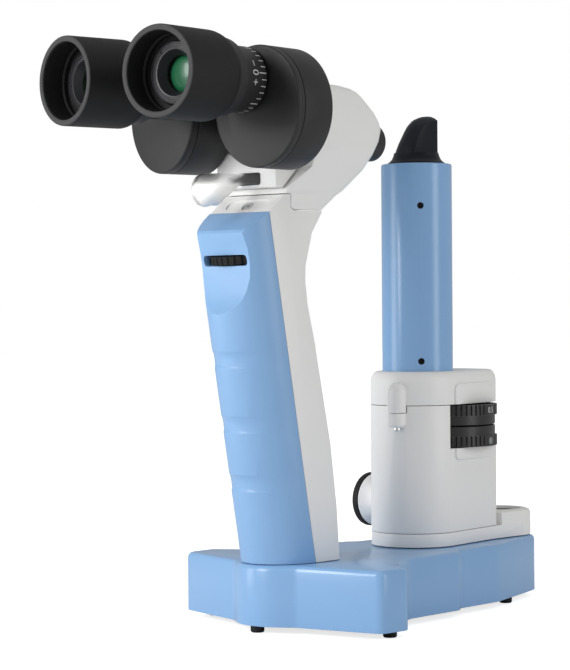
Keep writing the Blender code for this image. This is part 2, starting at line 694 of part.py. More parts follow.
def tower_outline(inset=0.0, rear=TOWER_END_Y):
    """Half round towards the operator, then two sides closing to the rear."""
    front = arc((0.0, TOWER_Y), TOWER_RADIUS - inset, 182, 358, 12)
    taper = (TOWER_RADIUS - TOWER_END_HALF) / (TOWER_END_Y + 3.0)
    half = TOWER_RADIUS - taper * (rear + 3.0) - inset
    corners = [(TOWER_RADIUS - inset, TOWER_Y, 0.0), (half, rear - inset, 5.2),
               (-half, rear - inset, 5.2), (-TOWER_RADIUS + inset, TOWER_Y, 0.0)]
    back = round_corners(corners, 3)
    return front + back


def arm_outline():
    front = arc((0.0, TOWER_Y), TOWER_RADIUS, 182, 358, 12)
    end = arc((0.0, PIVOT_Y), BOSS_RADIUS, 5, 175, 10)
    return front + [(TOWER_RADIUS, TOWER_Y), (15.0, 33.5)] + end + [(-15.0, 33.5),
                                                                    (-TOWER_RADIUS, TOWER_Y)]


def build_arm_plate(tower):
    plate = finish("arm_plate", prism(arm_outline(), ARM_BOTTOM, ARM_TOP), "white", tower)
    end = [(14.5, 41.3)] + arc((0.0, PIVOT_Y), BOSS_RADIUS, 0, 180, 12) + [(-14.5, 41.3)]
    boss = bevel_level(prism(end, ARM_TOP - 1.5, BOSS_TOP), BOSS_TOP, 2.0)
    raised = finish("arm_boss", boss, None, tower, True)
    steps = turned([(0, 20.0), (5.3, 20.0), (5.3, 36.0), (10.0, 36.0), (10.0, 50.0), (0, 50.0)],
                   24)
    bore = finish("arm_bore", moved(steps, (0, PIVOT_Y, 0)), None, tower, True)
    add(plate, raised)
    cut(plate, bore)


def screw_place():
    """The lid's screw boss, on the operator's side of the tower."""
    angle = math.radians(70.1)
    reach = TOWER_RADIUS + 2.0
    return (reach * math.cos(angle), TOWER_Y - reach * math.sin(angle))


def wall_taper():
    """Angle by which each side wall closes towards the rear."""
    return math.atan2(TOWER_RADIUS - TOWER_END_HALF, TOWER_END_Y + 3.0)


def pads(low, high, low_corner=3.0):
    """Raised panels on both side walls that lead over or under the dials."""
    thick, proud, edge = 4.0, 1.3, 1.0
    panels = []
    for side in (-1, 1):
        rings = []
        for inset, x in ((0.0, proud - thick), (0.0, proud - edge), (0.3, proud - 0.3),
                         (edge, proud)):
            foot = low + (inset if low_corner else 0.0)
            foot_corner = max(0.0, low_corner - inset)
            top_corner = 3.0 - inset
            corners = [(PAD_Y[0] + inset, foot, foot_corner), (PAD_Y[1] - inset, foot, foot_corner),
                       (PAD_Y[1] - inset, high - inset, top_corner),
                       (PAD_Y[0] + inset, high - inset, top_corner)]
            rings.append([(side * x, y, z) for y, z in round_corners(corners)])
        turn = Matrix.Rotation(side * wall_taper(), 3, "Z")
        panels.append(moved(ring_loft(rings), (side * TOWER_RADIUS, TOWER_Y, 0), turn))
    return merge(*panels)


def build_tower(tower):
    floor = ARM_TOP + GAP
    place = screw_place()
    body = finish("tower_housing", prism(tower_outline(), floor, TOWER_TOP), "white", tower)
    low_pad = finish("pad_low", pads(66.7, DIAL_FLOOR + 4), None, tower, True)
    boss = turned([(0, 82.2), (3.0, 82.2), (3.9, 83.2), (3.9, 89.2), (0, 89.2)], 12)
    low_boss = finish("boss_low", moved(boss, (*place, 0)), None, tower, True)
    inside = finish("tower_hollow", prism(tower_outline(TOWER_WALL), 30, 95), None, tower, True)
    window = finish("dial_window", cube((-40, DIAL_WINDOW_Y, DIAL_FLOOR), (40, 60, 100)), None,
                    tower, True)
    notch = finish("boss_notch", moved(rod(4.6, 88.4, 95, 12), (*place, 0)), None, tower, True)
    bore = finish("tower_screw_bore", moved(rod(1.35, 70, 100, 8), (*place, 0)), None, tower, True)
    shaft = moved(rod(3.4, -40, -10, 16), (0, *KNOB_YZ), Matrix.Rotation(math.pi / 2, 3, "Y"))
    shaft_hole = finish("knob_hole", shaft, None, tower, True)
    add(body, low_pad, low_boss)
    cut(body, inside, window, notch, bore, shaft_hole)

    lid_low = TOWER_TOP + GAP
    lid = finish("tower_lid", domed(tower_outline(), lid_low, LID_TOP, 3.2, 4.8, 4), "white", tower)
    high_pad = finish("pad_high", pads(lid_low, 101.0, 0.0), None, tower, True)
    boss = turned([(0, 88.7), (4.0, 88.7), (4.0, 98.2), (3.4, 100.2), (2.0, 101.6), (0, 102.0)], 12)
    high_boss = finish("boss_high", moved(boss, (*place, 0)), None, tower, True)
    cavity = finish("lid_hollow", prism(tower_outline(TOWER_WALL), 80, LID_TOP - 5.0), None,
                    tower, True)
    opening = finish("tube_opening", rod(TUBE_RADIUS + GAP, 80, 120, 32), None, tower, True)
    blind = finish("lid_screw_bore", moved(rod(1.35, 70, 96, 8), (*place, 0)), None, tower, True)
    add(lid, high_pad, high_boss)
    cut(lid, cavity, opening, blind)

    screw = [(0, 80.6), (1.4, 80.6), (1.6, 81.0), (1.6, 81.9), (1.1, 81.9), (1.1, 95.0), (0, 95.0)]
    finish("lid_screw", moved(turned(screw, 10), (*place, 0)), "steel", tower)


def build_tube(tower):
    wall = 1.8
    bore = TUBE_RADIUS - wall
    profile = [(bore, 93.0), (TUBE_RADIUS, 93.0), (TUBE_RADIUS, TUBE_TOP - 0.8),
               (TUBE_RADIUS - 0.8, TUBE_TOP), (bore, TUBE_TOP)]
    barrel = finish("projection_tube", turned(profile, 36, True), "blue", tower)
    direction = Vector((0.733, -0.680, 0)).normalized()
    holes = []
    across = Vector((0, 0, 1)).cross(direction)
    turn = Matrix((across, Vector((0, 0, 1)), direction)).transposed()
    for z in (111.0, 179.9):
        holes.append(moved(rod(1.5, 5.0, 20.0, 12), (0, 0, z), turn))
    cut(barrel, finish("tube_holes", merge(*holes), None, tower, True))
    lens = [(0, 174.0), (7.0, 174.6), (bore - GAP, 176.6), (bore - GAP, 179.4), (0, 182.6)]
    finish("projection_lens", turned(lens, 20), "glass", tower)


def build_prism_head(tower):
    """Quarter bend with a flat face to the patient and two flat cheeks."""
    cheek = 6.0
    side_angle = math.degrees(math.asin(cheek / PRISM_RADIUS))
    rear = arc((0, 0), PRISM_RADIUS, 270 + side_angle, 270 - side_angle, 6)
    outline = [(cheek, PRISM_FACE_Y), (cheek, 2.0), (cheek, -3.5)] + rear
    outline += [(-cheek, -3.5), (-cheek, 2.0), (-cheek, PRISM_FACE_Y)]
    rings = []
    for z, flare, amount in ((TUBE_TOP + GAP, 13.2, 1.0), (199.7, 11.9, 1.0),
                             (200.2, 10.9, 0.75), (200.7, 10.3, 0.3), (PRISM_BEND_Z, 10.0, 0.0)):
        ring = []
        for x, y in outline:
            round_point = Vector((x, y)).normalized() * flare
            ring.append((x + (round_point.x - x) * amount, y + (round_point.y - y) * amount, z))
        rings.append(ring)
    steps = 8
    rise = (PRISM_TOP_Z - PRISM_BEND_Z) / (PRISM_FACE_Y + PRISM_RADIUS)
    for i in range(1, steps + 1):
        angle = math.radians(90 * i / steps)
        rings.append([(x, PRISM_FACE_Y - (PRISM_FACE_Y - y) * math.cos(angle),
                       PRISM_BEND_Z + rise * (PRISM_FACE_Y - y) * math.sin(angle))
                      for x, y in outline])
    head = finish("prism_head", ring_loft(rings), "black", tower)
    path = [(-6.0, 190.0), (5.0, 190.0), (5.0, 205.0), (12.0, 205.0), (12.0, 215.0), (4.0, 215.0),
            (-6.0, 205.0)]
    light = finish("prism_light_path", prism(path, -4.4, 4.4, "X"), None, tower, True)
    cut(head, light)
    shift = GAP * math.sqrt(2)
    mirror = [(-5.7, 205.0 - shift), (3.7, 214.4 - shift), (3.7, 212.6 - shift),
              (-5.7, 203.2 - shift)]
    finish("prism_mirror", prism(mirror, -4.1, 4.1, "X"), "aluminium", tower)


def build_lamp(tower):
    fins = finish("heat_sink", rod(12.0, ARM_TOP + GAP, 38.6, 20), "aluminium", tower)
    grooves = merge(*[cube((x - 0.8, -20, 36.4), (x + 0.8, 20, 40)) for x in (-9, -6, 6, 9)])
    cut(fins, finish("fin_grooves", grooves, None, tower, True))
    led = [(0, 38.9), (8.0, 38.9), (8.0, 40.5), (3.5, 40.5), (3.2, 42.0), (1.8, 43.2), (0, 43.6)]
    finish("lamp", turned(led, 16), "white", tower)
    barrel = [(0, 67.0), (11.0, 67.0), (11.0, 40.9), (13.0, 40.9), (13.0, 69.0), (0, 69.0)]
    body = finish("slit_barrel", turned(barrel, 24), "black", tower)
    slit = finish("slit_opening", cube((-1.0, -6.0, 60), (1.0, 6.0, 80)), None, tower, True)
    entry = moved(rod(3.4, -20, -6, 12), (0, *KNOB_YZ), Matrix.Rotation(math.pi / 2, 3, "Y"))
    cut(body, slit, finish("barrel_entry", entry, None, tower, True))
    lens = [(0, 53.0), (6.0, 53.8), (10.7, 56.0), (10.7, 57.6), (0, 61.6)]
    finish("condenser_lens", turned(lens, 20), "glass", tower)
    post = turned([(0, ARM_TOP + GAP), (5.5, ARM_TOP + GAP), (5.5, 37.0), (3.0, 37.0),
                   (3.0, 92.6), (0, 92.6)], 14)
    finish("dial_post", moved(post, (0, DIAL_Y, 0)), "steel", tower)


def dial_rings(low, knurl_low, knurl_high, high, teeth=26):
    """Plain band and knurled band in one outline of tooth tips and grooves."""
    count = teeth * 2

    def ring(z, depth, plain):
        points = []
        for i in range(count):
            radius = plain if depth is None else DIAL_RADIUS - depth * (i % 2)
            angle = 2 * math.pi * i / count
            points.append((radius * math.cos(angle), radius * math.sin(angle), z))
        return points

    band = DIAL_RADIUS - 0.9
    if knurl_low > low:
        return [ring(low, None, band), ring(knurl_low, None, band), ring(knurl_low + 0.3, 0.8, 0),
                ring(high, 0.8, 0)]
    return [ring(low, 0.8, 0), ring(knurl_high - 0.3, 0.8, 0), ring(knurl_high, None, band),
            ring(high, None, band)]


def build_dials(tower):
    axis = frame("dial_axis", (0, DIAL_Y, 0), parent=tower)
    plans = (("aperture_dial", 82.0, 86.3, 91.1, 91.1, (3.2, 2.4, 1.6, 0.9, 0.5)),
             ("filter_dial", 72.4, 72.4, 77.2, 81.5, (3.6, 3.6, 3.6, 3.6, 3.6)))
    for name, low, knurl_low, knurl_high, high, stops in plans:
        dial = finish(name, ring_loft(dial_rings(low, knurl_low, knurl_high, high)), "black", axis)
        recess = tube(21.6, 5.5, low + 1.8, high + 5, 28)
        openings = [rod(3.3, low - 5, high + 5, 16)]
        for i, radius in enumerate(stops):
            angle = -math.pi / 2 + 2 * math.pi * i / len(stops)
            openings.append(moved(rod(radius, low - 5, low + 5, 10),
                                  (STOP_RADIUS * math.cos(angle), STOP_RADIUS * math.sin(angle), 0)))
        cut(dial, finish(name + "_recess", recess, None, axis, True),
            finish(name + "_stops", merge(*openings), None, axis, True))


def build_knob(tower):
    outwards = Matrix(((0, 0, -1), (0, 1, 0), (1, 0, 0)))
    axis = frame("knob_axis", (KNOB_X, *KNOB_YZ), outwards, tower)
    knob = [(0, -13.0), (3.0, -13.0), (3.0, 0.8), (6.8, 0.8), (7.4, 2.4), (8.6, 5.4), (10.4, 8.2),
            (11.8, 9.6), (11.8, 9.9), (10.6, 9.9), (10.6, 13.2), (9.8, 13.8), (0, 13.8)]
    finish("slit_knob", turned(knob, 24), "white", axis)
    ring = [(10.9, 10.2), (11.9, 10.2), (12.3, 10.7), (12.3, 12.7), (11.9, 13.2), (10.9, 13.2)]
    finish("knob_ring", turned(ring, 24, True), "rubber", axis)


# ---------------------------------------------------------------- assembly

def build():
    clear_scene()
    stand = frame("stand_frame", (0, TUBE_Y, 0))
    build_base(stand)
    build_pivot(stand)
    wheel = build_grip(stand)
    build_rear_shell(stand, wheel)
    build_handle_inside(stand, wheel)
    build_head(stand)
    build_neck(stand)
    cans = {name: build_can(stand, side, name) for side, name in ((-1, "left"), (1, "right"))}
    build_head_plate(stand, cans)
    arm = frame("arm_axis", (0, PIVOT_Y, 0), parent=stand)
    tower = frame("tower_frame", (0, -PIVOT_Y, 0), parent=arm)
    build_arm_plate(tower)
    build_tower(tower)
    build_tube(tower)
    build_prism_head(tower)
    build_lamp(tower)
    build_dials(tower)
    build_knob(tower)


build()
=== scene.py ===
"""Portable slit lamp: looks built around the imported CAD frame.

Run as a script.  It is laid out as an add-on: sizes and colours are
properties, and each piece or group of like pieces has one operator.
Lengths in the code are millimetres unless a name says otherwise.
"""
import math

import bpy
from bpy.props import FloatProperty, FloatVectorProperty, IntProperty, PointerProperty
from mathutils import Matrix, Vector


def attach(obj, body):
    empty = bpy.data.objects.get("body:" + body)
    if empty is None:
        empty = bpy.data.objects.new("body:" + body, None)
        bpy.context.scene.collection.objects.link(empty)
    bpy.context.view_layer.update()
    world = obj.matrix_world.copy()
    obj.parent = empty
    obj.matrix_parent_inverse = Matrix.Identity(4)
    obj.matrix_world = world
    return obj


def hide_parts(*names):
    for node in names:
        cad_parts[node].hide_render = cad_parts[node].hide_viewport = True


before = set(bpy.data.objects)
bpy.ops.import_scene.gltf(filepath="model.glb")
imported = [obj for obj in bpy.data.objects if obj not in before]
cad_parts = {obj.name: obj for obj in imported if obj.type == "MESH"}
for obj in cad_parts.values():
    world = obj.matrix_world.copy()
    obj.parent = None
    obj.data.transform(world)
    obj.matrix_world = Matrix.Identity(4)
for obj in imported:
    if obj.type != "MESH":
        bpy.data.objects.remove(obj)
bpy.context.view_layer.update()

bl_info = {
    "name": "Portable Slit Lamp",
    "version": (1, 0, 0),
    "blender": (4, 5, 0),
    "location": "View3D > Sidebar > Slit Lamp",
    "description": "Builds the finished pieces, finishes and stage of a portable slit lamp",
    "category": "Object",
}

MM = 0.001
TUBE_Y = 55.52              # lamp tube's axis, ahead of the middle of the footprint
SIDES = {"left": -1, "right": 1}
FULL_TURN = 2 * math.pi


# ---------------------------------------------------------------- properties

def colour_property(name, description, default):
    return FloatVectorProperty(name=name, description=description, default=default,
                               subtype="COLOR", size=3, min=0.0, max=1.0)


class SlitLampSizes(bpy.types.PropertyGroup):
    """Sizes a user would change."""
    turned_steps: IntProperty(
        name="Turned steps", description="Sides of a turned piece", default=96, min=24, max=192)
    shell_edge: FloatProperty(
        name="Shell edge", description="Rounding of a moulded shell's edges",
        default=0.0007, min=0.0001, max=0.003, unit="LENGTH")
    metal_edge: FloatProperty(
        name="Metal edge", description="Rounding of a machined edge",
        default=0.0003, min=0.00005, max=0.002, unit="LENGTH")
    dial_teeth: IntProperty(
        name="Dial teeth", description="Grooves round a lamp dial", default=60, min=20, max=120)
    wheel_teeth: IntProperty(
        name="Wheel teeth", description="Grooves round the thumb wheel", default=30, min=16,
        max=90)
    focal_length: FloatProperty(
        name="Lens", description="Camera's focal length", default=124.8, min=35.0, max=300.0)


class SlitLampColours(bpy.types.PropertyGroup):
    """Colours a user would change."""
    blue: colour_property("Blue", "Blue moulded shells", (0.235, 0.425, 0.700))
    white: colour_property("White", "Pale moulded shells", (0.84, 0.835, 0.825))
    black: colour_property("Black", "Satin black housings", (0.010, 0.010, 0.011))
    rubber: colour_property("Rubber", "Eyecups, feet and grip ring", (0.008, 0.008, 0.008))
    mark: colour_property("Marks", "Printed marks", (0.52, 0.52, 0.52))
    coating: colour_property("Coating", "Eye lens coating", (0.015, 0.13, 0.055))


# ---------------------------------------------------------------- finishes

def shader_group(name, inputs, outputs):
    tree = bpy.data.node_groups.new(name, "ShaderNodeTree")
    for kind, label, value in inputs:
        socket = tree.interface.new_socket(label, in_out="INPUT", socket_type=kind)
        if value is not None:
            socket.default_value = value
    for kind, label in outputs:
        tree.interface.new_socket(label, in_out="OUTPUT", socket_type=kind)
    return tree, tree.nodes.new("NodeGroupInput"), tree.nodes.new("NodeGroupOutput")


def noise(tree, coordinates, scale, detail=2.0):
    node = tree.nodes.new("ShaderNodeTexNoise")
    node.inputs["Detail"].default_value = detail
    tree.links.new(coordinates, node.inputs["Vector"])
    if isinstance(scale, float):
        node.inputs["Scale"].default_value = scale
    else:
        tree.links.new(scale, node.inputs["Scale"])
    return node.outputs["Fac"]


def maths(tree, operation, *values):
    node = tree.nodes.new("ShaderNodeMath")
    node.operation = operation
    for index, value in enumerate(values):
        if isinstance(value, (int, float)):
            node.inputs[index].default_value = value
        else:
            tree.links.new(value, node.inputs[index])
    return node.outputs[0]


def tone_group():
    """Slow drift of shade over a surface, as between parts of one moulding."""
    tree, enter, leave = shader_group(
        "Tone drift",
        [("NodeSocketVector", "Place", None), ("NodeSocketColor", "Colour", (0.5, 0.5, 0.5, 1.0)),
         ("NodeSocketFloat", "Size", 30.0), ("NodeSocketFloat", "Amount", 0.05)],
        [("NodeSocketColor", "Colour")])
    spread = maths(tree, "SUBTRACT", noise(tree, enter.outputs["Place"], enter.outputs["Size"]), 0.5)
    value = maths(tree, "ADD", maths(tree, "MULTIPLY", spread, enter.outputs["Amount"]), 1.0)
    shade = tree.nodes.new("ShaderNodeHueSaturation")
    tree.links.new(enter.outputs["Colour"], shade.inputs["Color"])
    tree.links.new(value, shade.inputs["Value"])
    tree.links.new(shade.outputs["Color"], leave.inputs["Colour"])
    return tree


def grain_group():
    """Fine moulded grain, with patches that are a little glossier."""
    tree, enter, leave = shader_group(
        "Moulded grain",
        [("NodeSocketVector", "Place", None), ("NodeSocketFloat", "Size", 2500.0),
         ("NodeSocketFloat", "Roughness", 0.4), ("NodeSocketFloat", "Spread", 0.1)],
        [("NodeSocketFloat", "Roughness"), ("NodeSocketFloat", "Height")])
    fine = noise(tree, enter.outputs["Place"], enter.outputs["Size"], 3.0)
    patches = noise(tree, enter.outputs["Place"], 60.0)
    spread = maths(tree, "MULTIPLY", maths(tree, "SUBTRACT", patches, 0.5),
                   enter.outputs["Spread"])
    tree.links.new(maths(tree, "ADD", enter.outputs["Roughness"], spread),
                   leave.inputs["Roughness"])
    tree.links.new(fine, leave.inputs["Height"])
    return tree


def wear_and_highlight_group():
    """Lighter colour at edges, broken up by a fine noise: partly wear, partly painted highlight."""
    tree, enter, leave = shader_group(
        "Edge wear and highlight",
        [("NodeSocketVector", "Place", None), ("NodeSocketColor", "Colour", (0.5, 0.5, 0.5, 1.0)),
         ("NodeSocketColor", "Rubbed and lit", (0.8, 0.8, 0.8, 1.0)), ("NodeSocketFloat", "Amount", 0.3)],
        [("NodeSocketColor", "Colour"), ("NodeSocketFloat", "Mask")])
    rounded = tree.nodes.new("ShaderNodeBevel")
    rounded.samples = 4
    rounded.inputs["Radius"].default_value = 0.0005
    surface = tree.nodes.new("ShaderNodeNewGeometry")
    turn = tree.nodes.new("ShaderNodeVectorMath")
    turn.operation = "DOT_PRODUCT"
    tree.links.new(rounded.outputs["Normal"], turn.inputs[0])
    tree.links.new(surface.outputs["Normal"], turn.inputs[1])
    edge = maths(tree, "MULTIPLY", maths(tree, "SUBTRACT", 1.0, turn.outputs["Value"]), 5.0)
    broken = maths(tree, "MULTIPLY", edge, noise(tree, enter.outputs["Place"], 400.0))
    mask = maths(tree, "MULTIPLY", maths(tree, "MINIMUM", broken, 1.0), enter.outputs["Amount"])
    blend = tree.nodes.new("ShaderNodeMix")
    blend.data_type = "RGBA"
    tree.links.new(mask, blend.inputs[0])
    tree.links.new(enter.outputs["Colour"], blend.inputs[6])
    tree.links.new(enter.outputs["Rubbed and lit"], blend.inputs[7])
    tree.links.new(blend.outputs[2], leave.inputs["Colour"])
    tree.links.new(mask, leave.inputs["Mask"])
    return tree


def brushed_group():
    """Fine lines round or along a metal piece."""
    tree, enter, leave = shader_group(
        "Brushed lines",
        [("NodeSocketVector", "Place", None), ("NodeSocketFloat", "Roughness", 0.3),
         ("NodeSocketFloat", "Spread", 0.15)],
        [("NodeSocketFloat", "Roughness"), ("NodeSocketFloat", "Height")])
    lines = noise(tree, enter.outputs["Place"], 1.0, 3.0)
    spread = maths(tree, "MULTIPLY", maths(tree, "SUBTRACT", lines, 0.5), enter.outputs["Spread"])
    tree.links.new(maths(tree, "ADD", enter.outputs["Roughness"], spread),
                   leave.inputs["Roughness"])
    tree.links.new(lines, leave.inputs["Height"])
    return tree


GROUPS = {}
FINISHES = {}


def group_node(tree, name, **values):
    node = tree.nodes.new("ShaderNodeGroup")
    node.node_tree = GROUPS[name]
    for label, value in values.items():
        node.inputs[label.capitalize()].default_value = value
    return node


def place_node(tree, stretch=(1.0, 1.0, 1.0)):
    """Object coordinates through a Mapping node."""
    coordinates = tree.nodes.new("ShaderNodeTexCoord")
    mapping = tree.nodes.new("ShaderNodeMapping")
    mapping.inputs["Scale"].default_value = stretch
    tree.links.new(coordinates.outputs["Object"], mapping.inputs["Vector"])
    return mapping.outputs["Vector"]


def new_material(name):
    material = bpy.data.materials.new(name)
    material.use_nodes = True
    tree = material.node_tree
    return material, tree, tree.nodes["Principled BSDF"]


def bump(tree, shader, height, distance, strength=1.0):
    node = tree.nodes.new("ShaderNodeBump")
    node.inputs["Strength"].default_value = strength
    node.inputs["Distance"].default_value = distance
    tree.links.new(height, node.inputs["Height"])
    tree.links.new(node.outputs["Normal"], shader.inputs["Normal"])


def plastic(name, colour, rough, spread, size, depth, rubbed_and_lit, wear_and_highlight, drift=0.05, sheen=0.5):
    """Moulded or painted surface: drift of tone, grain, and lighter edges that are partly wear,
    partly painted highlight.
    """
    material, tree, shader = new_material(name)
    place = place_node(tree)
    tone = group_node(tree, "Tone drift", size=35.0, amount=drift)
    tone.inputs["Colour"].default_value = (*colour, 1.0)
    tree.links.new(place, tone.inputs["Place"])
    # Edges lightened towards a lighter colour: partly wear, partly painted highlight.
    worn_and_lit = group_node(tree, "Edge wear and highlight", amount=wear_and_highlight)
    worn_and_lit.inputs["Rubbed and lit"].default_value = (*rubbed_and_lit, 1.0)
    tree.links.new(place, worn_and_lit.inputs["Place"])
    tree.links.new(tone.outputs["Colour"], worn_and_lit.inputs["Colour"])
    grain = group_node(tree, "Moulded grain", size=size, roughness=rough, spread=spread)
    tree.links.new(place, grain.inputs["Place"])
    tree.links.new(worn_and_lit.outputs["Colour"], shader.inputs["Base Color"])
    tree.links.new(grain.outputs["Roughness"], shader.inputs["Roughness"])
    shader.inputs["Specular IOR Level"].default_value = sheen
    bump(tree, shader, grain.outputs["Height"], depth)
    FINISHES[name] = material
    return shader


def metal(name, colour, rough, spread, stretch, depth):
    """Bare or plated metal with fine lines."""
    material, tree, shader = new_material(name)
    place = place_node(tree, stretch)
    tone = group_node(tree, "Tone drift", size=1.0, amount=0.06)
    tone.inputs["Colour"].default_value = (*colour, 1.0)
    tree.links.new(place, tone.inputs["Place"])
    lines = group_node(tree, "Brushed lines", roughness=rough, spread=spread)
    tree.links.new(place, lines.inputs["Place"])
    tree.links.new(tone.outputs["Colour"], shader.inputs["Base Color"])
    tree.links.new(lines.outputs["Roughness"], shader.inputs["Roughness"])
    shader.inputs["Metallic"].default_value = 1.0
    bump(tree, shader, lines.outputs["Height"], depth)
    FINISHES[name] = material


def lens_finish(name, colour, rough, transmission, polish=1.0):
    """Polished glass with a faint drift in its coating."""
    material, tree, shader = new_material(name)
    place = place_node(tree)
    tone = group_node(tree, "Tone drift", size=80.0, amount=0.25)
    tone.inputs["Colour"].default_value = (*colour, 1.0)
    tree.links.new(place, tone.inputs["Place"])
    tree.links.new(tone.outputs["Colour"], shader.inputs["Base Color"])
    shader.inputs["Roughness"].default_value = rough
    shader.inputs["Transmission Weight"].default_value = transmission
    shader.inputs["Coat Weight"].default_value = polish
    shader.inputs["Coat Roughness"].default_value = 0.02
    FINISHES[name] = material


def mix_finishes(colours):
    for build in (tone_group, grain_group, wear_and_highlight_group, brushed_group):
        tree = build()
        GROUPS[tree.name] = tree
    blue, white = tuple(colours.blue), tuple(colours.white)
    black, rubber = tuple(colours.black), tuple(colours.rubber)
    # The colour and amount after each grain depth lighten the finish's edges: partly wear, partly
    # painted highlight, strongest on the dial knurls.
    plastic("Blue moulding", blue, 0.36, 0.10, 2600.0, 0.00002, (0.50, 0.68, 0.88), 0.35)
    plastic("Blue enamel", blue, 0.22, 0.06, 1800.0, 0.00001, (0.50, 0.68, 0.88), 0.25)
    plastic("White moulding", white, 0.40, 0.10, 2600.0, 0.00002, (0.86, 0.86, 0.86), 0.35, 0.03)
    plastic("Black housing", black, 0.46, 0.12, 3200.0, 0.00004, (0.10, 0.10, 0.10), 0.4, 0.15,
            0.45)
    plastic("Black anodised", (0.022, 0.022, 0.023), 0.42, 0.10, 5000.0, 0.00001,
            (0.14, 0.14, 0.15), 0.4, 0.12, 0.35)
    plastic("Soft black", rubber, 0.62, 0.10, 4200.0, 0.00005, (0.06, 0.06, 0.06), 0.3, 0.15, 0.3)
    # Lighter grey for the eyecup rim: a painted highlight.
    plastic("Painted highlight rim", (0.045, 0.045, 0.047), 0.70, 0.10, 4200.0, 0.00005,
            (0.10, 0.10, 0.10), 0.3, 0.15, 0.4)
    plastic("Blue black metal", (0.006, 0.007, 0.012), 0.40, 0.10, 3600.0, 0.00002,
            (0.06, 0.07, 0.09), 0.3, 0.12, 0.2)
    plastic("Inner black", (0.010, 0.010, 0.010), 0.75, 0.10, 5000.0, 0.00003,
            (0.04, 0.04, 0.04), 0.2, 0.10, 0.3)
    plastic("Dial black", (0.012, 0.012, 0.012), 0.35, 0.10, 5000.0, 0.00001,
            (0.16, 0.16, 0.16), 0.6, 0.10, 0.5)
    plastic("Printed mark", tuple(colours.mark), 0.55, 0.05, 5000.0, 0.00001,
            (0.7, 0.7, 0.7), 0.0, 0.04)
    plastic("Grey mark", (0.22, 0.23, 0.24), 0.55, 0.05, 5000.0, 0.00001, (0.5, 0.5, 0.5), 0.0,
            0.05)
    plastic("Bezel grey", (0.016, 0.016, 0.019), 0.42, 0.10, 4000.0, 0.00002,
            (0.12, 0.12, 0.13), 0.4, 0.10)
    plastic("Board", (0.02, 0.16, 0.07), 0.45, 0.15, 900.0, 0.00006, (0.5, 0.4, 0.15), 0.3, 0.25)
    plastic("Cell sleeve", (0.10, 0.28, 0.13), 0.35, 0.10, 500.0, 0.00002, (0.4, 0.5, 0.4), 0.2,
            0.08)
    metal("Nickel", (0.90, 0.90, 0.89), 0.34, 0.10, (300.0, 300.0, 2500.0), 0.000003)
    metal("Steel", (0.60, 0.60, 0.60), 0.32, 0.15, (2500.0, 300.0, 300.0), 0.000006)
    metal("Aluminium", (0.74, 0.74, 0.75), 0.36, 0.15, (300.0, 2500.0, 300.0), 0.000008)
    lens_finish("Clear glass", (0.92, 0.96, 0.95), 0.02, 0.9)
    lens_finish("Coated lens", tuple(colours.coating), 0.30, 0.0, 0.15)
    lens_finish("Objective lens", (0.03, 0.05, 0.09), 0.06, 0.0)


def coat(obj, finish):
    """One finish all over an object."""
    obj.data.materials.clear()
    obj.data.materials.append(FINISHES[finish])


def settle(obj, body, finish, *nodes):
    """Finish a new piece: what it is made of, what it rides on, what it stands for."""
    coat(obj, finish)
    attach(obj, body)
    if nodes:
        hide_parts(*nodes)
    return obj


# ---------------------------------------------------------------- bench tools

def nothing_selected():
    if bpy.context.mode != "OBJECT":
        bpy.ops.object.mode_set(mode="OBJECT")
    bpy.ops.object.select_all(action="DESELECT")


def hold(obj):
    """Make one object the selected and active one."""
    nothing_selected()
    obj.select_set(True)
    bpy.context.view_layer.objects.active = obj


def editing(select="SELECT"):
    bpy.ops.object.mode_set(mode="EDIT")
    bpy.ops.mesh.select_all(action=select)


def done():
    bpy.ops.object.mode_set(mode="OBJECT")


def named(name):
    obj = bpy.context.active_object
    obj.name = name
    obj.data.name = name
    return obj


def clean_up(smooth=32.0):
    """Merge doubles, face outwards and smooth the held mesh."""
    editing()
    bpy.ops.mesh.remove_doubles(threshold=1e-6)
    bpy.ops.mesh.normals_make_consistent(inside=False)
    done()
    bpy.ops.object.shade_smooth_by_angle(angle=math.radians(smooth))


def settle_place(obj, matrix):
    """Move a piece modelled about the origin to its place, and fix it there."""
    hold(obj)
    obj.matrix_world = matrix
    bpy.ops.object.transform_apply(location=True, rotation=True, scale=True)


def soften(obj, width, segments=3, angle=30.0):
    """Round the sharp edges with an applied bevel."""
    hold(obj)
    modifier = obj.modifiers.new("soft_edge", "BEVEL")
    modifier.width = width
    modifier.segments = segments
    modifier.limit_method = "ANGLE"
    modifier.angle_limit = math.radians(angle)
    modifier.miter_outer = "MITER_ARC"
    modifier.use_clamp_overlap = True
    bpy.ops.object.modifier_apply(modifier=modifier.name)
    bpy.ops.object.shade_smooth_by_angle(angle=math.radians(32.0))


def lathe(name, profile, steps, closed=False):
    """Extrude a point along a (radius, z) profile, then spin it about Z."""
    nothing_selected()
    bpy.ops.mesh.primitive_plane_add(size=MM, location=(0, 0, 0))
    obj = named(name)
    editing()
    bpy.ops.mesh.merge(type="CENTER")
    points = list(profile) + ([profile[0]] if closed else [])
    bpy.ops.transform.translate(value=(points[0][0] * MM, 0, points[0][1] * MM))
    for (r0, z0), (r1, z1) in zip(points, points[1:]):
        step = ((r1 - r0) * MM, 0, (z1 - z0) * MM)
        bpy.ops.mesh.extrude_vertices_move(TRANSFORM_OT_translate={"value": step})
    bpy.ops.mesh.select_all(action="SELECT")
    bpy.ops.mesh.remove_doubles(threshold=1e-7)
    bpy.ops.mesh.spin(steps=steps, angle=FULL_TURN, center=(0, 0, 0), axis=(0, 0, 1))
    done()
    clean_up()
    return obj


def twin(obj, name):
    """Copy of a piece, with its own mesh."""
    hold(obj)
    bpy.ops.object.duplicate(linked=False)
    return named(name)


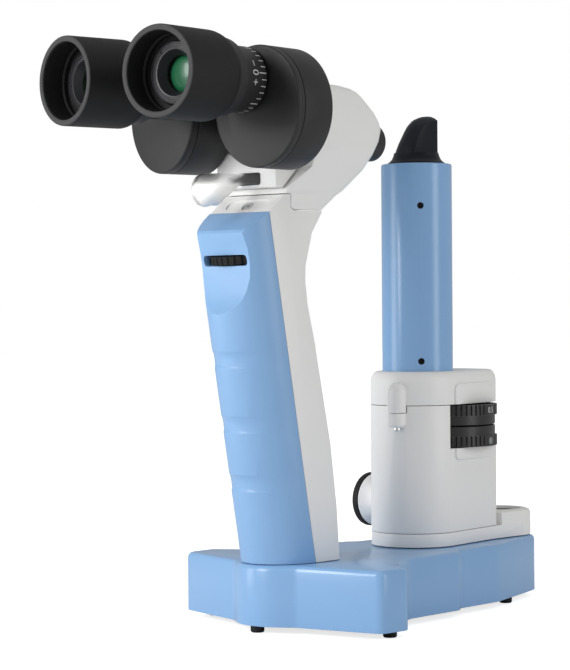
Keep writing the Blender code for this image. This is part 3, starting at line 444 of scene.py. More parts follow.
def slab(name, corners, low, high):
    """Flat outline filled and extruded along Z."""
    nothing_selected()
    bpy.ops.mesh.primitive_circle_add(vertices=len(corners), radius=MM, fill_type="NGON")
    obj = named(name)
    for vertex, (x, y) in zip(obj.data.vertices, corners):
        vertex.co = (x * MM, y * MM, low * MM)
    editing()
    step = {"value": (0, 0, (high - low) * MM)}
    bpy.ops.mesh.extrude_region_move(TRANSFORM_OT_translate=step)
    done()
    clean_up()
    return obj


def body_copy(node, name):
    """Merged copy of a CAD node, its flat faces whole again."""
    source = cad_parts[node]
    hold(source)
    bpy.ops.object.duplicate(linked=False)
    obj = named(name)
    editing()
    bpy.ops.mesh.remove_doubles(threshold=2e-6)
    bpy.ops.mesh.dissolve_limited(angle_limit=math.radians(0.8), use_dissolve_boundaries=False)
    done()
    return obj


def refine(node, finish, body, edge, segments=3, angle=30.0):
    """Stand a softened copy of a CAD node in for it."""
    obj = body_copy(node, node + "_finished")
    soften(obj, edge, segments, angle)
    return settle(obj, body, finish, node)


def paint(obj, finish, test):
    """Second finish on the faces whose centre and normal pass a test, in the tube's frame."""
    obj.data.materials.append(FINISHES[finish])
    slot = len(obj.data.materials) - 1
    for polygon in obj.data.polygons:
        centre = obj.matrix_world @ polygon.center / MM - Vector((0, TUBE_Y, 0))
        if test(centre, polygon.normal):
            polygon.material_index = slot


def joined(pieces, name):
    """Several held shells made one object."""
    nothing_selected()
    for piece in pieces:
        piece.select_set(True)
    bpy.context.view_layer.objects.active = pieces[0]
    bpy.ops.object.join()
    return named(name)


def turn_matrix(across, up, out, place):
    """Frame whose Z points out of a piece; place is in the tube's frame."""
    matrix = Matrix((across, up, out)).transposed().to_4x4()
    x, y, z = place
    return Matrix.Translation(Vector((x, y + TUBE_Y, z)) * MM) @ matrix


def upright(x=0.0, y=0.0, z=0.0):
    return Matrix.Translation(Vector((x, y + TUBE_Y, z)) * MM)


# ---------------------------------------------------------------- places

PIVOT_Y = 57.1
CONVERGENCE = math.radians(6.36)
HINGE = (18.2, -130.5, 206.4)
CAN_CENTRE = (10.0, 9.8)
CAN_HALF = (21.7, 24.65)
EYE_OFFSET = (3.36, 20.6)
EYE_RIM = 52.9
EYECUP_SEAM = 21.6
OBJECTIVE = (9.5, -40.8, 206.4)
DIAL_Y = 18.0
DIAL_RADIUS = 24.0
MARK_ANGLE = math.radians(11.0)     # where a dial shows its mark
HANDLE_LEAN = math.radians(10.13)
HEAD_SLIMMING = 0.2                 # how much the mirror head narrows towards its top
BEZEL_NOTCH = {"left": 185.0, "right": 130.0}     # degrees round the lens
TUBE_TOP = 198.9
SET_SCREW_HEIGHTS = {"low": 111.0, "high": 179.9}
STOP_RADIUS = 17.6                  # where a dial's openings stand


def can_matrix(side):
    back = Vector((side * math.sin(CONVERGENCE), -math.cos(CONVERGENCE), 0))
    up = Vector((0, 0, 1))
    return turn_matrix(up.cross(back), up, back, (side * HINGE[0], HINGE[1], HINGE[2]))


def eye_matrix(side):
    shift = Matrix.Translation(Vector((side * EYE_OFFSET[0], EYE_OFFSET[1], 0)) * MM)
    return can_matrix(side) @ shift


def objective_matrix(side):
    angle = side * math.atan2(OBJECTIVE[0], PIVOT_Y - OBJECTIVE[1])
    back = Vector((math.sin(angle), -math.cos(angle), 0))
    up = Vector((0, 0, 1))
    return turn_matrix(up.cross(back), up, back, (side * OBJECTIVE[0], OBJECTIVE[1], OBJECTIVE[2]))


# ---------------------------------------------------------------- base

def make_base(sizes):
    refine("base_shell", "Blue enamel", "stand", sizes.shell_edge)
    refine("base_plate", "Inner black", "stand", sizes.metal_edge)
    foot = lathe("foot_pad", [(0, 0), (2.3, 0), (2.7, 0.25), (2.9, 0.7), (2.9, 3.0), (0, 3.0)],
                 sizes.turned_steps // 2)
    spots = {"front": (0.0, -103.0), "wing_left": (-51.4, -77.6), "wing_right": (51.4, -77.6),
             "rear_left": (-19.0, 38.0), "rear_right": (19.0, 38.0)}
    for name, (x, y) in spots.items():
        pad = twin(foot, "foot_pad_" + name)
        settle_place(pad, upright(x, y, 0))
        settle(pad, "stand", "Soft black", "foot_" + name)
    drop(foot)


def drop(obj):
    nothing_selected()
    bpy.data.objects.remove(obj, do_unlink=True)


# ---------------------------------------------------------------- handle

def make_handle(sizes):
    refine("handle_grip", "Blue moulding", "stand", sizes.shell_edge * 0.8, 3, 24.0)
    refine("handle_shell", "White moulding", "stand", sizes.shell_edge, 3, 28.0)
    make_wheel(sizes)


def make_wheel(sizes):
    """Knurled thumb wheel for the lamp's brightness."""
    radius, half, depth = 15.2, 1.7, 0.6
    teeth = sizes.wheel_teeth
    corners = []
    for i in range(teeth):
        for part, reach in ((0.0, radius), (0.50, radius), (0.60, radius - depth),
                            (0.90, radius - depth)):
            angle = FULL_TURN * (i + part) / teeth
            corners.append((reach * math.cos(angle), reach * math.sin(angle)))
    wheel = slab("thumb_wheel", corners, -half, half)
    soften(wheel, 0.00018, 2)
    reach = radius - 2.6
    y = -119.9 + reach * math.cos(HANDLE_LEAN)
    z = 155.0 + reach * math.sin(HANDLE_LEAN)
    tilt = Matrix.Rotation(HANDLE_LEAN, 4, "X")
    settle_place(wheel, upright(0, y, z) @ tilt)
    settle(wheel, "brightness_wheel_body", "Inner black", "brightness_wheel")


# ---------------------------------------------------------------- microscope

def make_head(sizes):
    refine("head_shell", "White moulding", "stand", sizes.shell_edge, 3, 34.0)
    refine("neck_cover", "White moulding", "stand", sizes.shell_edge)
    refine("head_plate", "Black housing", "stand", sizes.metal_edge)
    refine("mag_lever", "Nickel", "magnification_lever_body", 0.0002, 2)
    for name, side in SIDES.items():
        ring = lathe("objective_bezel_" + name,
                     [(6.9, 0.25), (7.1, 0), (7.9, 0), (8.2, 0.3), (8.2, 15.0), (6.9, 15.0),
                      (6.9, 3.0), (7.2, 2.8), (7.2, 2.4), (6.9, 2.2)], sizes.turned_steps, True)
        settle_place(ring, objective_matrix(side))
        settle(ring, "stand", "Black anodised", "objective_ring_" + name)
        dome = [(0, 3.2), (1.8, 3.25), (3.6, 3.45), (5.2, 3.85), (6.6, 4.6), (6.6, 7.4), (0, 8.2)]
        lens = lathe("objective_glass_" + name, dome, sizes.turned_steps)
        settle_place(lens, objective_matrix(side))
        settle(lens, "stand", "Objective lens", "objective_lens_" + name)


def oval_points(half_width, half_height, count=96):
    return [(half_width * math.cos(FULL_TURN * i / count),
             half_height * math.sin(FULL_TURN * i / count)) for i in range(count)]


def oval_body(name, levels, side):
    """Oval face extruded level by level; levels are (inset, z) pairs from the rear."""
    nothing_selected()
    bpy.ops.mesh.primitive_circle_add(vertices=96, radius=MM, fill_type="NOTHING")
    obj = named(name)
    inset, z = levels[0]
    middle = (side * CAN_CENTRE[0], CAN_CENTRE[1])
    for vertex, (x, y) in zip(obj.data.vertices,
                              oval_points(CAN_HALF[0] - inset, CAN_HALF[1] - inset)):
        vertex.co = ((x + middle[0]) * MM, (y + middle[1]) * MM, z * MM)
    editing()
    bpy.ops.mesh.edge_face_add()
    centre = (middle[0] * MM, middle[1] * MM, 0)
    for (i0, z0), (i1, z1) in zip(levels, levels[1:]):
        bpy.ops.mesh.extrude_region_move(TRANSFORM_OT_translate={"value": (0, 0, (z1 - z0) * MM)})
        scale = ((CAN_HALF[0] - i1) / (CAN_HALF[0] - i0), (CAN_HALF[1] - i1) / (CAN_HALF[1] - i0), 1)
        bpy.ops.transform.resize(value=scale, center_override=centre)
    done()
    clean_up(28.0)
    return obj


def make_cans():
    """Oval prism housings with their front covers."""
    for name, side in SIDES.items():
        body = "prism_can_" + name
        housing = oval_body("can_body_" + name,
                            [(0.7, -22.4), (0.3, -22.25), (0.08, -21.95), (0, -21.6),
                             (0, -5.1), (0.12, -4.65), (0.45, -4.4), (2.2, -4.4), (2.2, -19.8)],
                            side)
        cut_hole(housing, 6.3, (0, 0), -28.0, -14.0)
        settle_place(housing, can_matrix(side))
        settle(housing, body, "Black housing", "prism_housing_" + name)

        cover = oval_body("can_front_" + name,
                          [(0.6, -4.0), (0.15, -3.8), (0, -3.4), (0, -0.9), (0.12, -0.45),
                           (0.45, -0.12), (0.9, 0)], side)
        cut_hole(cover, 9.3, (side * EYE_OFFSET[0], EYE_OFFSET[1]), -8.0, 4.0)
        settle_place(cover, can_matrix(side))
        settle(cover, body, "Black housing", "housing_cover_" + name)


def cut_hole(obj, radius, centre, low, high, sides=64):
    """Round hole through a piece, with an applied Boolean."""
    nothing_selected()
    bpy.ops.mesh.primitive_cylinder_add(
        vertices=sides, radius=radius * MM, depth=(high - low) * MM,
        location=(centre[0] * MM, centre[1] * MM, (high + low) / 2 * MM))
    carve(obj, named("hole_cutter"))


def carve(obj, cutter):
    """Take a cutter's shape out of a piece."""
    hold(obj)
    modifier = obj.modifiers.new("hole", "BOOLEAN")
    modifier.operation = "DIFFERENCE"
    modifier.solver = "EXACT"
    modifier.object = cutter
    bpy.ops.object.modifier_apply(modifier=modifier.name)
    bpy.ops.object.shade_smooth_by_angle(angle=math.radians(28.0))
    drop(cutter)


# ---------------------------------------------------------------- eyepieces

def make_eyepieces(sizes):
    for name, side in SIDES.items():
        place = eye_matrix(side)
        make_eyecup(name, place, sizes.turned_steps)
        make_focus_ring(name, place, sizes.turned_steps)
        face = EYE_RIM - 14.8
        lens_profile = [(0, face), (1.5, face - 0.05), (3.0, face - 0.2), (4.5, face - 0.5),
                        (5.8, face - 0.95), (7.3, face - 1.7), (7.3, face - 4.1),
                        (0, face - 5.4)]
        lens = lathe("eye_glass_" + name, lens_profile, sizes.turned_steps)
        settle_place(lens, place)
        settle(lens, "eyepiece_" + name, "Coated lens", "eye_lens_" + name)
        print_scale(name, side, place)


def make_eyecup(name, place, steps):
    """Rubber cup with a rounded shoulder and a flat rim painted lighter as a highlight."""
    rim, seam = EYE_RIM, EYECUP_SEAM
    profile = [(12.9, seam), (15.1, seam), (15.9, seam + 0.25), (16.7, seam + 0.8),
               (17.35, seam + 1.6), (17.8, seam + 2.6), (18.05, seam + 3.7),
               (18.1, seam + 4.6), (18.1, rim - 0.9), (18.0, rim - 0.35), (17.7, rim - 0.05),
               (17.4, rim), (16.2, rim), (15.85, rim - 0.15), (15.65, rim - 0.6),
               (15.55, rim - 1.4), (15.5, rim - 9.6), (14.9, rim - 10.2),
               (14.9, rim - 12.0), (12.9, rim - 12.0)]
    cup = lathe("eyecup_sleeve_" + name, profile, steps, True)
    settle_place(cup, place)
    settle(cup, "eyepiece_" + name, "Soft black", "eyecup_" + name)
    # Rim zone painted lighter as a highlight.
    paint_zone(cup, place, "Painted highlight rim", (15.7, 18.1), (rim - 0.5, rim + 1.0))


def make_focus_ring(name, place, steps):
    """Ring that carries the scale outside and the lens's stepped bezel inside."""
    seam = EYECUP_SEAM
    face = EYE_RIM - 10.4
    profile = [(9.3, 1.3), (12.9, 1.3), (13.4, 1.8), (13.4, seam - 5.9), (13.7, seam - 5.5),
               (15.6, seam - 5.2), (16.0, seam - 4.8), (16.0, seam - 0.6), (15.7, seam - 0.3),
               (12.5, seam - 0.3), (12.5, face - 0.5), (12.2, face - 0.1), (11.9, face),
               (11.6, face), (11.5, face - 0.35), (11.3, face - 0.35), (11.2, face - 0.1),
               (10.8, face - 0.1), (10.7, face - 0.3), (10.55, face - 0.3),
               (10.45, face - 0.1), (10.05, face - 0.1), (9.95, face - 0.3),
               (9.8, face - 0.3), (9.7, face - 0.1), (9.1, face - 0.2), (8.9, face - 0.5),
               (7.75, face - 2.4), (7.1, face - 3.4), (7.1, face - 4.2), (7.7, face - 4.2),
               (7.7, 24.2), (9.3, 23.4)]
    ring = lathe("focus_ring_" + name, profile, steps, True)
    settle_place(ring, place)
    settle(ring, "eyepiece_" + name, "Black anodised", "diopter_ring_" + name)
    paint_zone(ring, place, "Bezel grey", (7.2, 12.45), (face - 3.5, face + 1.0))

    angle = math.radians(BEZEL_NOTCH[name])
    nothing_selected()
    bpy.ops.mesh.primitive_cube_add(size=1.0, location=(0.0106, 0, (face - 0.05) * MM),
                                    scale=(0.0017, 0.0006, 0.0002))
    notch = named("bezel_notch_" + name)
    bpy.ops.object.transform_apply(location=True, rotation=True, scale=True)
    soften(notch, 0.00008, 2)
    settle_place(notch, place @ Matrix.Rotation(angle, 4, "Z"))
    settle(notch, "eyepiece_" + name, "Inner black")


def paint_zone(obj, place, finish, radii, levels):
    """Second finish on the faces between two radii and two levels of a turned piece."""
    inverse = place.inverted()

    def inside(centre, normal):
        local = inverse @ ((centre + Vector((0, TUBE_Y, 0))) * MM) / MM
        radius = math.hypot(local.x, local.y)
        return radii[0] < radius < radii[1] and levels[0] < local.z < levels[1]

    paint(obj, finish, inside)


def wrap(obj, radius, height_from):
    """Bend a flat mesh (x across, y up) round a cylinder about Z."""
    for vertex in obj.data.vertices:
        x, y, z = vertex.co
        angle = x / (radius * MM)
        reach = radius * MM + z
        vertex.co = (reach * math.sin(angle), -reach * math.cos(angle), y + height_from * MM)


def print_text(name, text, size, radius, low, angle, place):
    """Generic figure printed on a ring; angle is where its middle stands."""
    nothing_selected()
    bpy.ops.object.text_add(location=(0, 0, 0))
    obj = bpy.context.active_object
    obj.name = name
    obj.data.body = text
    obj.data.size = size * MM
    obj.data.align_x = "CENTER"
    obj.data.offset = 0.00002
    obj.data.extrude = 0.00005
    obj.data.resolution_u = 6
    bpy.ops.object.convert(target="MESH")
    obj = named(name)
    bpy.ops.object.transform_apply(location=True, rotation=True, scale=True)
    editing()
    bpy.ops.mesh.remove_doubles(threshold=1e-7)
    bpy.ops.mesh.subdivide(number_cuts=1)
    done()
    wrap(obj, radius, low)
    hold(obj)
    clean_up()
    settle_place(obj, place @ Matrix.Rotation(angle + math.pi / 2, 4, "Z"))
    return obj


def mark_bar(name, width, low, high, radius, angle, place):
    """Short printed line along a ring's axis."""
    nothing_selected()
    bpy.ops.mesh.primitive_cube_add(size=1.0, location=(0, (low + high) / 2 * MM, 0),
                                    scale=(width * MM, (high - low) * MM, 0.0001))
    obj = named(name)
    bpy.ops.object.transform_apply(location=True, rotation=True, scale=True)
    editing()
    bpy.ops.mesh.bevel(offset=0.00002, segments=1)
    done()
    wrap(obj, radius, 0)
    hold(obj)
    clean_up()
    settle_place(obj, place @ Matrix.Rotation(angle + math.pi / 2, 4, "Z"))
    return obj


def print_dot(name, size, radius, height, angle, place):
    """Round printed spot on a ring."""
    nothing_selected()
    bpy.ops.mesh.primitive_cylinder_add(vertices=40, radius=size * MM, depth=0.0001,
                                        location=(0, height * MM, 0))
    obj = named(name)
    bpy.ops.object.transform_apply(location=True, rotation=True, scale=True)
    soften(obj, 0.00002, 1)
    wrap(obj, radius, 0)
    hold(obj)
    clean_up()
    settle_place(obj, place @ Matrix.Rotation(angle + math.pi / 2, 4, "Z"))
    return obj


def print_scale(name, side, place):
    """Dioptre scale: a line each few degrees, a longer one each fifth, and - 0 +."""
    spacing = math.radians(11.4)
    zero = math.radians(7.2)
    radius = 13.4
    marks = []
    for i in range(-8, 6):
        angle = zero + spacing * i
        if side < 0:
            angle = math.pi - angle
        long = i % 5 == 0
        marks.append(mark_bar("scale_line", 0.50 if long else 0.42, 2.0, 6.3 if long else 4.75,
                              radius, angle, place))
    for text, shift in (("−", 16.5), ("0", 0.0), ("+", -16.5)):
        angle = zero + math.radians(shift)
        if side < 0:
            angle = math.pi - angle
        marks.append(print_text("scale_sign", text, 4.9, radius, 6.9, angle, place))
    settle(joined(marks, "focus_scale_" + name), "eyepiece_" + name, "Printed mark")


# ---------------------------------------------------------------- lamp arm

def make_arm(sizes):
    refine("arm_plate", "White moulding", "lamp_arm", sizes.shell_edge)
    refine("tower_housing", "White moulding", "lamp_arm", sizes.shell_edge, 3, 34.0)
    refine("tower_lid", "White moulding", "lamp_arm", sizes.shell_edge, 3, 34.0)
    make_tube(sizes)
    make_prism_head(sizes)


def make_prism_head(sizes):
    """Dark mirror head: slimmer towards the top, with a flared foot on the tube."""
    head = body_copy("prism_head", "prism_head_body")
    for vertex in head.data.vertices:
        y = vertex.co.y / MM - TUBE_Y
        rise = min(max((vertex.co.z / MM - 203.0) / 9.0, 0.0), 1.0)
        if y < 4.0:
            slim = 1.0 - HEAD_SLIMMING * rise * min((4.0 - y) / 6.0, 1.0)
            vertex.co.x *= slim
            vertex.co.y = (y * slim + TUBE_Y) * MM
    soften(head, sizes.metal_edge, 3, 24.0)
    foot = lathe("prism_head_foot", [(9.2, 199.2), (12.7, 199.2), (12.75, 199.5),
                                     (11.9, 200.0), (11.0, 201.0), (10.4, 202.3),
                                     (9.9, 204.0), (9.2, 204.0)], sizes.turned_steps, True)
    settle_place(foot, upright())
    settle(joined([head, foot], "prism_head_finished"), "lamp_arm", "Blue black metal",
           "prism_head")


def make_tube(sizes):
    """Blue lamp tube with two sunk set screws."""
    top = TUBE_TOP
    profile = [(14.0, 93.0), (15.8, 93.0), (15.8, top - 0.9), (15.7, top - 0.45),
               (15.4, top - 0.1), (15.0, top), (14.0, top)]
    tube = lathe("lamp_tube", profile, sizes.turned_steps, True)
    direction = Vector((0.733, -0.680, 0)).normalized()
    up = Vector((0, 0, 1))
    outwards = Matrix((up.cross(direction), up, direction)).transposed().to_4x4()
    screw = lathe("set_screw", [(0, 13.4), (1.35, 13.4), (1.35, 14.75), (1.2, 14.95),
                                (0, 14.95)], 32)
    cut_hole(screw, 0.7, (0, 0), 14.3, 16.0, 6)
    for label, z in SET_SCREW_HEIGHTS.items():
        place = Matrix.Translation(Vector((0, 0, z)) * MM) @ outwards
        nothing_selected()
        bpy.ops.mesh.primitive_cylinder_add(vertices=32, radius=0.0015, depth=0.014)
        cutter = named("hole_cutter")
        settle_place(cutter, place @ Matrix.Translation((0, 0, 0.0125)))
        carve(tube, cutter)
        copy = twin(screw, "set_screw_" + label)
        settle_place(copy, upright() @ place)
        settle(copy, "lamp_arm", "Inner black")
    drop(screw)
    settle_place(tube, upright())
    settle(tube, "lamp_arm", "Blue enamel", "projection_tube")


def make_dials(sizes):
    """Aperture and filter dials: cups with a knurled band, a plain band and one mark."""
    place = upright(0, DIAL_Y, 0)
    plans = (("aperture", 82.0, 91.1, (86.3, 91.1), (3.2, 2.4, 1.6, 0.9, 0.5)),
             ("filter", 72.4, 81.5, (72.4, 77.2), (3.6, 3.6, 3.6, 3.6, 3.6)))
    for name, low, high, (knurl_low, knurl_high), stops in plans:
        band = DIAL_RADIUS - 0.9
        floor = low + 1.8
        profile = [(3.3, low), (band - 0.3, low), (band, low + 0.3), (band, high - 0.3),
                   (band - 0.3, high), (21.6, high), (21.6, floor), (5.5, floor), (5.5, high),
                   (3.3, high)]
        cup = lathe(name + "_dial_cup", profile, sizes.turned_steps * 2, True)
        for i, radius in enumerate(stops):
            angle = -math.pi / 2 + FULL_TURN * i / len(stops)
            spot = (STOP_RADIUS * math.cos(angle), STOP_RADIUS * math.sin(angle))
            cut_hole(cup, radius, spot, low - 1.0, floor + 1.0, 32)
        grip = knurled_ring(name + "_dial_grip", knurl_low, knurl_high, DIAL_RADIUS,
                            sizes.dial_teeth)
        dial = joined([cup, grip], name + "_dial_finished")
        settle_place(dial, place)
        settle(dial, name + "_dial_body", "Dial black", name + "_dial")
    number = print_text("aperture_mark", "0.5", 3.7, DIAL_RADIUS, 87.4, MARK_ANGLE, place)
    settle(number, "aperture_dial_body", "Printed mark")
    dot = print_dot("filter_mark", 1.6, DIAL_RADIUS, 74.8, MARK_ANGLE, place)
    settle(dot, "filter_dial_body", "Grey mark")


def knurled_ring(name, low, high, outer, teeth):
    """Ring with straight grooves round its rim, smooth where the mark is printed."""
    corners = []
    depth = 0.75
    for i in range(teeth):
        for part in (0.0, 0.44, 0.57, 0.87):
            angle = FULL_TURN * (i + part) / teeth
            smooth = abs(angle - MARK_ANGLE) < math.radians(9.5)
            reach = outer if smooth or part < 0.5 else outer - depth
            corners.append((reach * math.cos(angle), reach * math.sin(angle)))
    ring = slab(name, corners, low, high)
    cut_hole(ring, outer - 2.2, (0, 0), low - 1.0, high + 1.0, teeth * 2)
    soften(ring, 0.00015, 2)
    return ring


def make_knob(sizes):
    """Slit width knob: a white bell with a soft black grip ring."""
    outwards = turn_matrix(Vector((0, 0, 1)), Vector((0, 1, 0)), Vector((-1, 0, 0)),
                           (-19.4, 3.5, 47.0))
    profile = [(0, 0.8), (6.5, 0.8), (6.85, 1.0), (7.4, 2.4), (8.0, 4.0), (8.6, 5.4),
               (9.4, 6.9), (10.4, 8.2), (11.3, 9.2), (11.7, 9.55), (11.75, 9.9), (10.6, 9.9),
               (10.6, 13.1), (10.4, 13.5), (9.8, 13.8), (0, 13.8)]
    knob = lathe("slit_knob_bell", profile, sizes.turned_steps)
    settle_place(knob, outwards)
    settle(knob, "slit_knob_body", "White moulding", "slit_knob")
    ring = lathe("knob_grip", [(10.75, 10.1), (11.9, 10.1), (12.2, 10.35), (12.3, 10.8),
                               (12.3, 12.6), (12.2, 13.0), (11.9, 13.25), (10.75, 13.25)],
                 sizes.turned_steps, True)
    settle_place(ring, outwards)
    settle(ring, "slit_knob_body", "Soft black", "knob_ring")


# ---------------------------------------------------------------- kept CAD nodes

KEPT = {
    "Steel": ["base_screw_front", "base_screw_rear", "pivot_post", "grip_screw", "lid_screw",
              "dial_post"],
    "Black anodised": ["slit_barrel", "mag_drum", "eyepiece_tube_left", "eyepiece_tube_right"],
    "Inner black": ["charge_socket", "brightness_rheostat", "pivot_screw"],
    "Aluminium": ["heat_sink", "prism_mirror"],
    "White moulding": ["lamp"],
    "Clear glass": ["projection_lens", "condenser_lens", "prism_left", "prism_right"],
    "Board": ["control_board"],
    "Cell sleeve": ["battery"],
}


def coat_kept_nodes():
    for finish, nodes in KEPT.items():
        for node in nodes:
            coat(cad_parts[node], finish)


# ---------------------------------------------------------------- stage

ROOM_LIGHT = 0.44          # how bright the white room is as a light
FLOOR_GLOW = 0.75          # lifts the paper to near white where the camera sees it
CAMERA_PLACE = (684.5, -788.1, 138.9)
CAMERA_AZIMUTH = math.radians(44.24)
CAMERA_PITCH = math.radians(-0.88)
CAMERA_ROLL = math.radians(-0.44)


def area_light(name, place, aim, size, power, tint=(1.0, 1.0, 1.0)):
    light = bpy.data.lights.new(name, "AREA")
    light.shape = "RECTANGLE"
    light.size, light.size_y = size
    light.energy = power
    light.color = tint
    lamp = bpy.data.objects.new(name, light)
    bpy.context.scene.collection.objects.link(lamp)
    lamp.location = place
    lamp.rotation_euler = (Vector(aim) - Vector(place)).to_track_quat("-Z", "Y").to_euler()


def light_studio():
    """White room seen by the camera, dimmer as a light, with three soft lamps."""
    scene = bpy.context.scene
    scene.view_settings.view_transform = "Standard"
    world = bpy.data.worlds.new("Studio")
    scene.world = world
    world.use_nodes = True
    tree = world.node_tree
    room = tree.nodes["Background"]
    room.inputs["Color"].default_value = (1.0, 1.0, 1.0, 1.0)
    seen = tree.nodes.new("ShaderNodeLightPath").outputs["Is Camera Ray"]
    strength = maths(tree, "MULTIPLY_ADD", seen, 1.0 - ROOM_LIGHT, ROOM_LIGHT)
    tree.links.new(strength, room.inputs["Strength"])
    aim = (0.0, 0.0, 0.12)
    area_light("key_light", (-0.25, -1.15, 0.50), aim, (0.50, 0.60), 9.0)
    area_light("top_light", (0.10, 0.10, 1.35), aim, (1.0, 1.0), 1.2)
    area_light("low_light", (-0.62, -0.66, 0.10), aim, (0.30, 0.6), 1.9)
    area_light("rim_light", (1.05, 0.35, 0.30), aim, (0.35, 0.9), 3.0)


def make_stage(sizes):
    nothing_selected()
    bpy.ops.mesh.primitive_plane_add(size=1.0, location=(0, 0, 0))
    floor = named("studio_floor")
    for vertex, (x, y) in zip(floor.data.vertices, ((-4, -4), (4, -4), (-4, 4), (4, 4))):
        vertex.co = (x, y, 0)
    material, tree, shader = new_material("Studio paper")
    shader.inputs["Base Color"].default_value = (0.90, 0.90, 0.90, 1.0)
    shader.inputs["Roughness"].default_value = 0.9
    shader.inputs["Specular IOR Level"].default_value = 0.0
    seen = tree.nodes.new("ShaderNodeLightPath").outputs["Is Camera Ray"]
    shader.inputs["Emission Color"].default_value = (1.0, 1.0, 1.0, 1.0)
    tree.links.new(maths(tree, "MULTIPLY", seen, FLOOR_GLOW), shader.inputs["Emission Strength"])
    floor.data.materials.append(material)

    light_studio()
    forward = Vector((-math.sin(CAMERA_AZIMUTH) * math.cos(CAMERA_PITCH),
                      math.cos(CAMERA_AZIMUTH) * math.cos(CAMERA_PITCH),
                      math.sin(CAMERA_PITCH)))
    right = Vector((math.cos(CAMERA_AZIMUTH), math.sin(CAMERA_AZIMUTH), 0))
    up = right.cross(forward)
    across = right * math.cos(CAMERA_ROLL) + up * math.sin(CAMERA_ROLL)
    high = up * math.cos(CAMERA_ROLL) - right * math.sin(CAMERA_ROLL)
    view = Matrix((across, high, -forward)).transposed().to_4x4()
    x, y, z = CAMERA_PLACE
    data = bpy.data.cameras.new("view")
    data.lens = sizes.focal_length
    data.clip_start = 0.05
    camera = bpy.data.objects.new("view", data)
    bpy.context.scene.collection.objects.link(camera)
    camera.matrix_world = Matrix.Translation(Vector((x, y + TUBE_Y, z)) * MM) @ view
    bpy.context.scene.camera = camera


# ---------------------------------------------------------------- operators

class SLITLAMP_OT_finishes(bpy.types.Operator):
    """Mix the finishes and coat the kept CAD parts."""
    bl_idname = "slitlamp.finishes"
    bl_label = "Finishes"
    bl_options = {"REGISTER", "UNDO"}

    def execute(self, context):
        mix_finishes(context.scene.slit_lamp_colours)
        coat_kept_nodes()
        return {"FINISHED"}


class SLITLAMP_OT_base(bpy.types.Operator):
    """Base shell, its plate and the feet."""
    bl_idname = "slitlamp.base"
    bl_label = "Base"
    bl_options = {"REGISTER", "UNDO"}

    def execute(self, context):
        make_base(context.scene.slit_lamp_sizes)
        return {"FINISHED"}


class SLITLAMP_OT_handle(bpy.types.Operator):
    """Grip, rear shell and thumb wheel."""
    bl_idname = "slitlamp.handle"
    bl_label = "Handle"
    bl_options = {"REGISTER", "UNDO"}

    def execute(self, context):
        make_handle(context.scene.slit_lamp_sizes)
        return {"FINISHED"}


class SLITLAMP_OT_head(bpy.types.Operator):
    """Microscope head, lever and objectives."""
    bl_idname = "slitlamp.head"
    bl_label = "Head"
    bl_options = {"REGISTER", "UNDO"}

    def execute(self, context):
        make_head(context.scene.slit_lamp_sizes)
        return {"FINISHED"}


class SLITLAMP_OT_cans(bpy.types.Operator):
    """Both oval prism housings and their covers."""
    bl_idname = "slitlamp.cans"
    bl_label = "Prism housings"
    bl_options = {"REGISTER", "UNDO"}

    def execute(self, context):
        make_cans()
        return {"FINISHED"}


class SLITLAMP_OT_eyepieces(bpy.types.Operator):
    """Eyecups, focus rings, lenses and scales."""
    bl_idname = "slitlamp.eyepieces"
    bl_label = "Eyepieces"
    bl_options = {"REGISTER", "UNDO"}

    def execute(self, context):
        make_eyepieces(context.scene.slit_lamp_sizes)
        return {"FINISHED"}


class SLITLAMP_OT_arm(bpy.types.Operator):
    """Arm, tower, lid, tube and mirror head."""
    bl_idname = "slitlamp.arm"
    bl_label = "Lamp arm"
    bl_options = {"REGISTER", "UNDO"}

    def execute(self, context):
        make_arm(context.scene.slit_lamp_sizes)
        return {"FINISHED"}


class SLITLAMP_OT_dials(bpy.types.Operator):
    """Aperture and filter dials with their marks."""
    bl_idname = "slitlamp.dials"
    bl_label = "Lamp dials"
    bl_options = {"REGISTER", "UNDO"}

    def execute(self, context):
        make_dials(context.scene.slit_lamp_sizes)
        return {"FINISHED"}


class SLITLAMP_OT_knob(bpy.types.Operator):
    """Slit width knob and its grip ring."""
    bl_idname = "slitlamp.knob"
    bl_label = "Slit knob"
    bl_options = {"REGISTER", "UNDO"}

    def execute(self, context):
        make_knob(context.scene.slit_lamp_sizes)
        return {"FINISHED"}


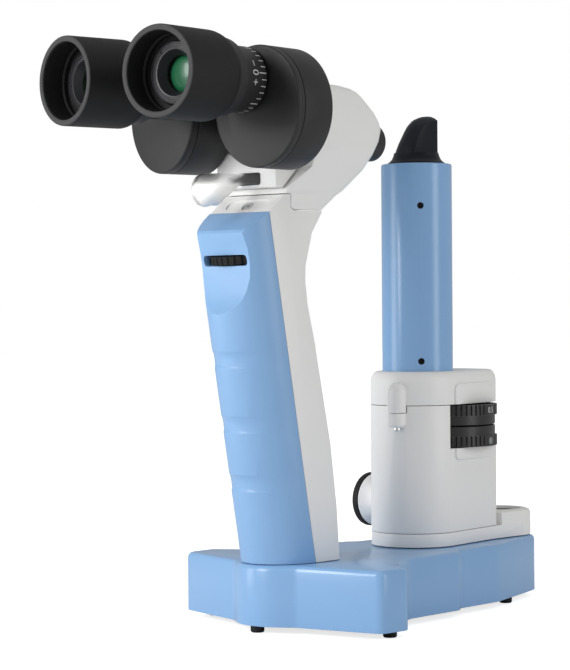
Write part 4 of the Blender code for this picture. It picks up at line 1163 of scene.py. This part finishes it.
class SLITLAMP_OT_stage(bpy.types.Operator):
    """Floor, light and camera."""
    bl_idname = "slitlamp.stage"
    bl_label = "Stage"
    bl_options = {"REGISTER", "UNDO"}

    def execute(self, context):
        make_stage(context.scene.slit_lamp_sizes)
        return {"FINISHED"}


OPERATORS = [
    SLITLAMP_OT_finishes, SLITLAMP_OT_base, SLITLAMP_OT_handle, SLITLAMP_OT_head,
    SLITLAMP_OT_cans, SLITLAMP_OT_eyepieces, SLITLAMP_OT_arm, SLITLAMP_OT_dials, SLITLAMP_OT_knob,
    SLITLAMP_OT_stage,
]


class SLITLAMP_PT_panel(bpy.types.Panel):
    """Lists the steps that build the slit lamp."""
    bl_label = "Slit Lamp"
    bl_idname = "SLITLAMP_PT_panel"
    bl_space_type = "VIEW_3D"
    bl_region_type = "UI"
    bl_category = "Slit Lamp"

    def draw(self, context):
        layout = self.layout
        for group in (context.scene.slit_lamp_sizes, context.scene.slit_lamp_colours):
            for name in group.bl_rna.properties.keys():
                if name not in ("rna_type", "name"):
                    layout.prop(group, name)
        for step in OPERATORS:
            layout.operator(step.bl_idname)


CLASSES = [SlitLampSizes, SlitLampColours, *OPERATORS, SLITLAMP_PT_panel]


def register():
    for cls in CLASSES:
        bpy.utils.register_class(cls)
    bpy.types.Scene.slit_lamp_sizes = PointerProperty(type=SlitLampSizes)
    bpy.types.Scene.slit_lamp_colours = PointerProperty(type=SlitLampColours)


def unregister():
    del bpy.types.Scene.slit_lamp_colours
    del bpy.types.Scene.slit_lamp_sizes
    for cls in reversed(CLASSES):
        bpy.utils.unregister_class(cls)


def main():
    register()
    bpy.ops.slitlamp.finishes()
    bpy.ops.slitlamp.base()
    bpy.ops.slitlamp.handle()
    bpy.ops.slitlamp.head()
    bpy.ops.slitlamp.cans()
    bpy.ops.slitlamp.eyepieces()
    bpy.ops.slitlamp.arm()
    bpy.ops.slitlamp.dials()
    bpy.ops.slitlamp.knob()
    bpy.ops.slitlamp.stage()


if __name__ == "__main__":
    main()
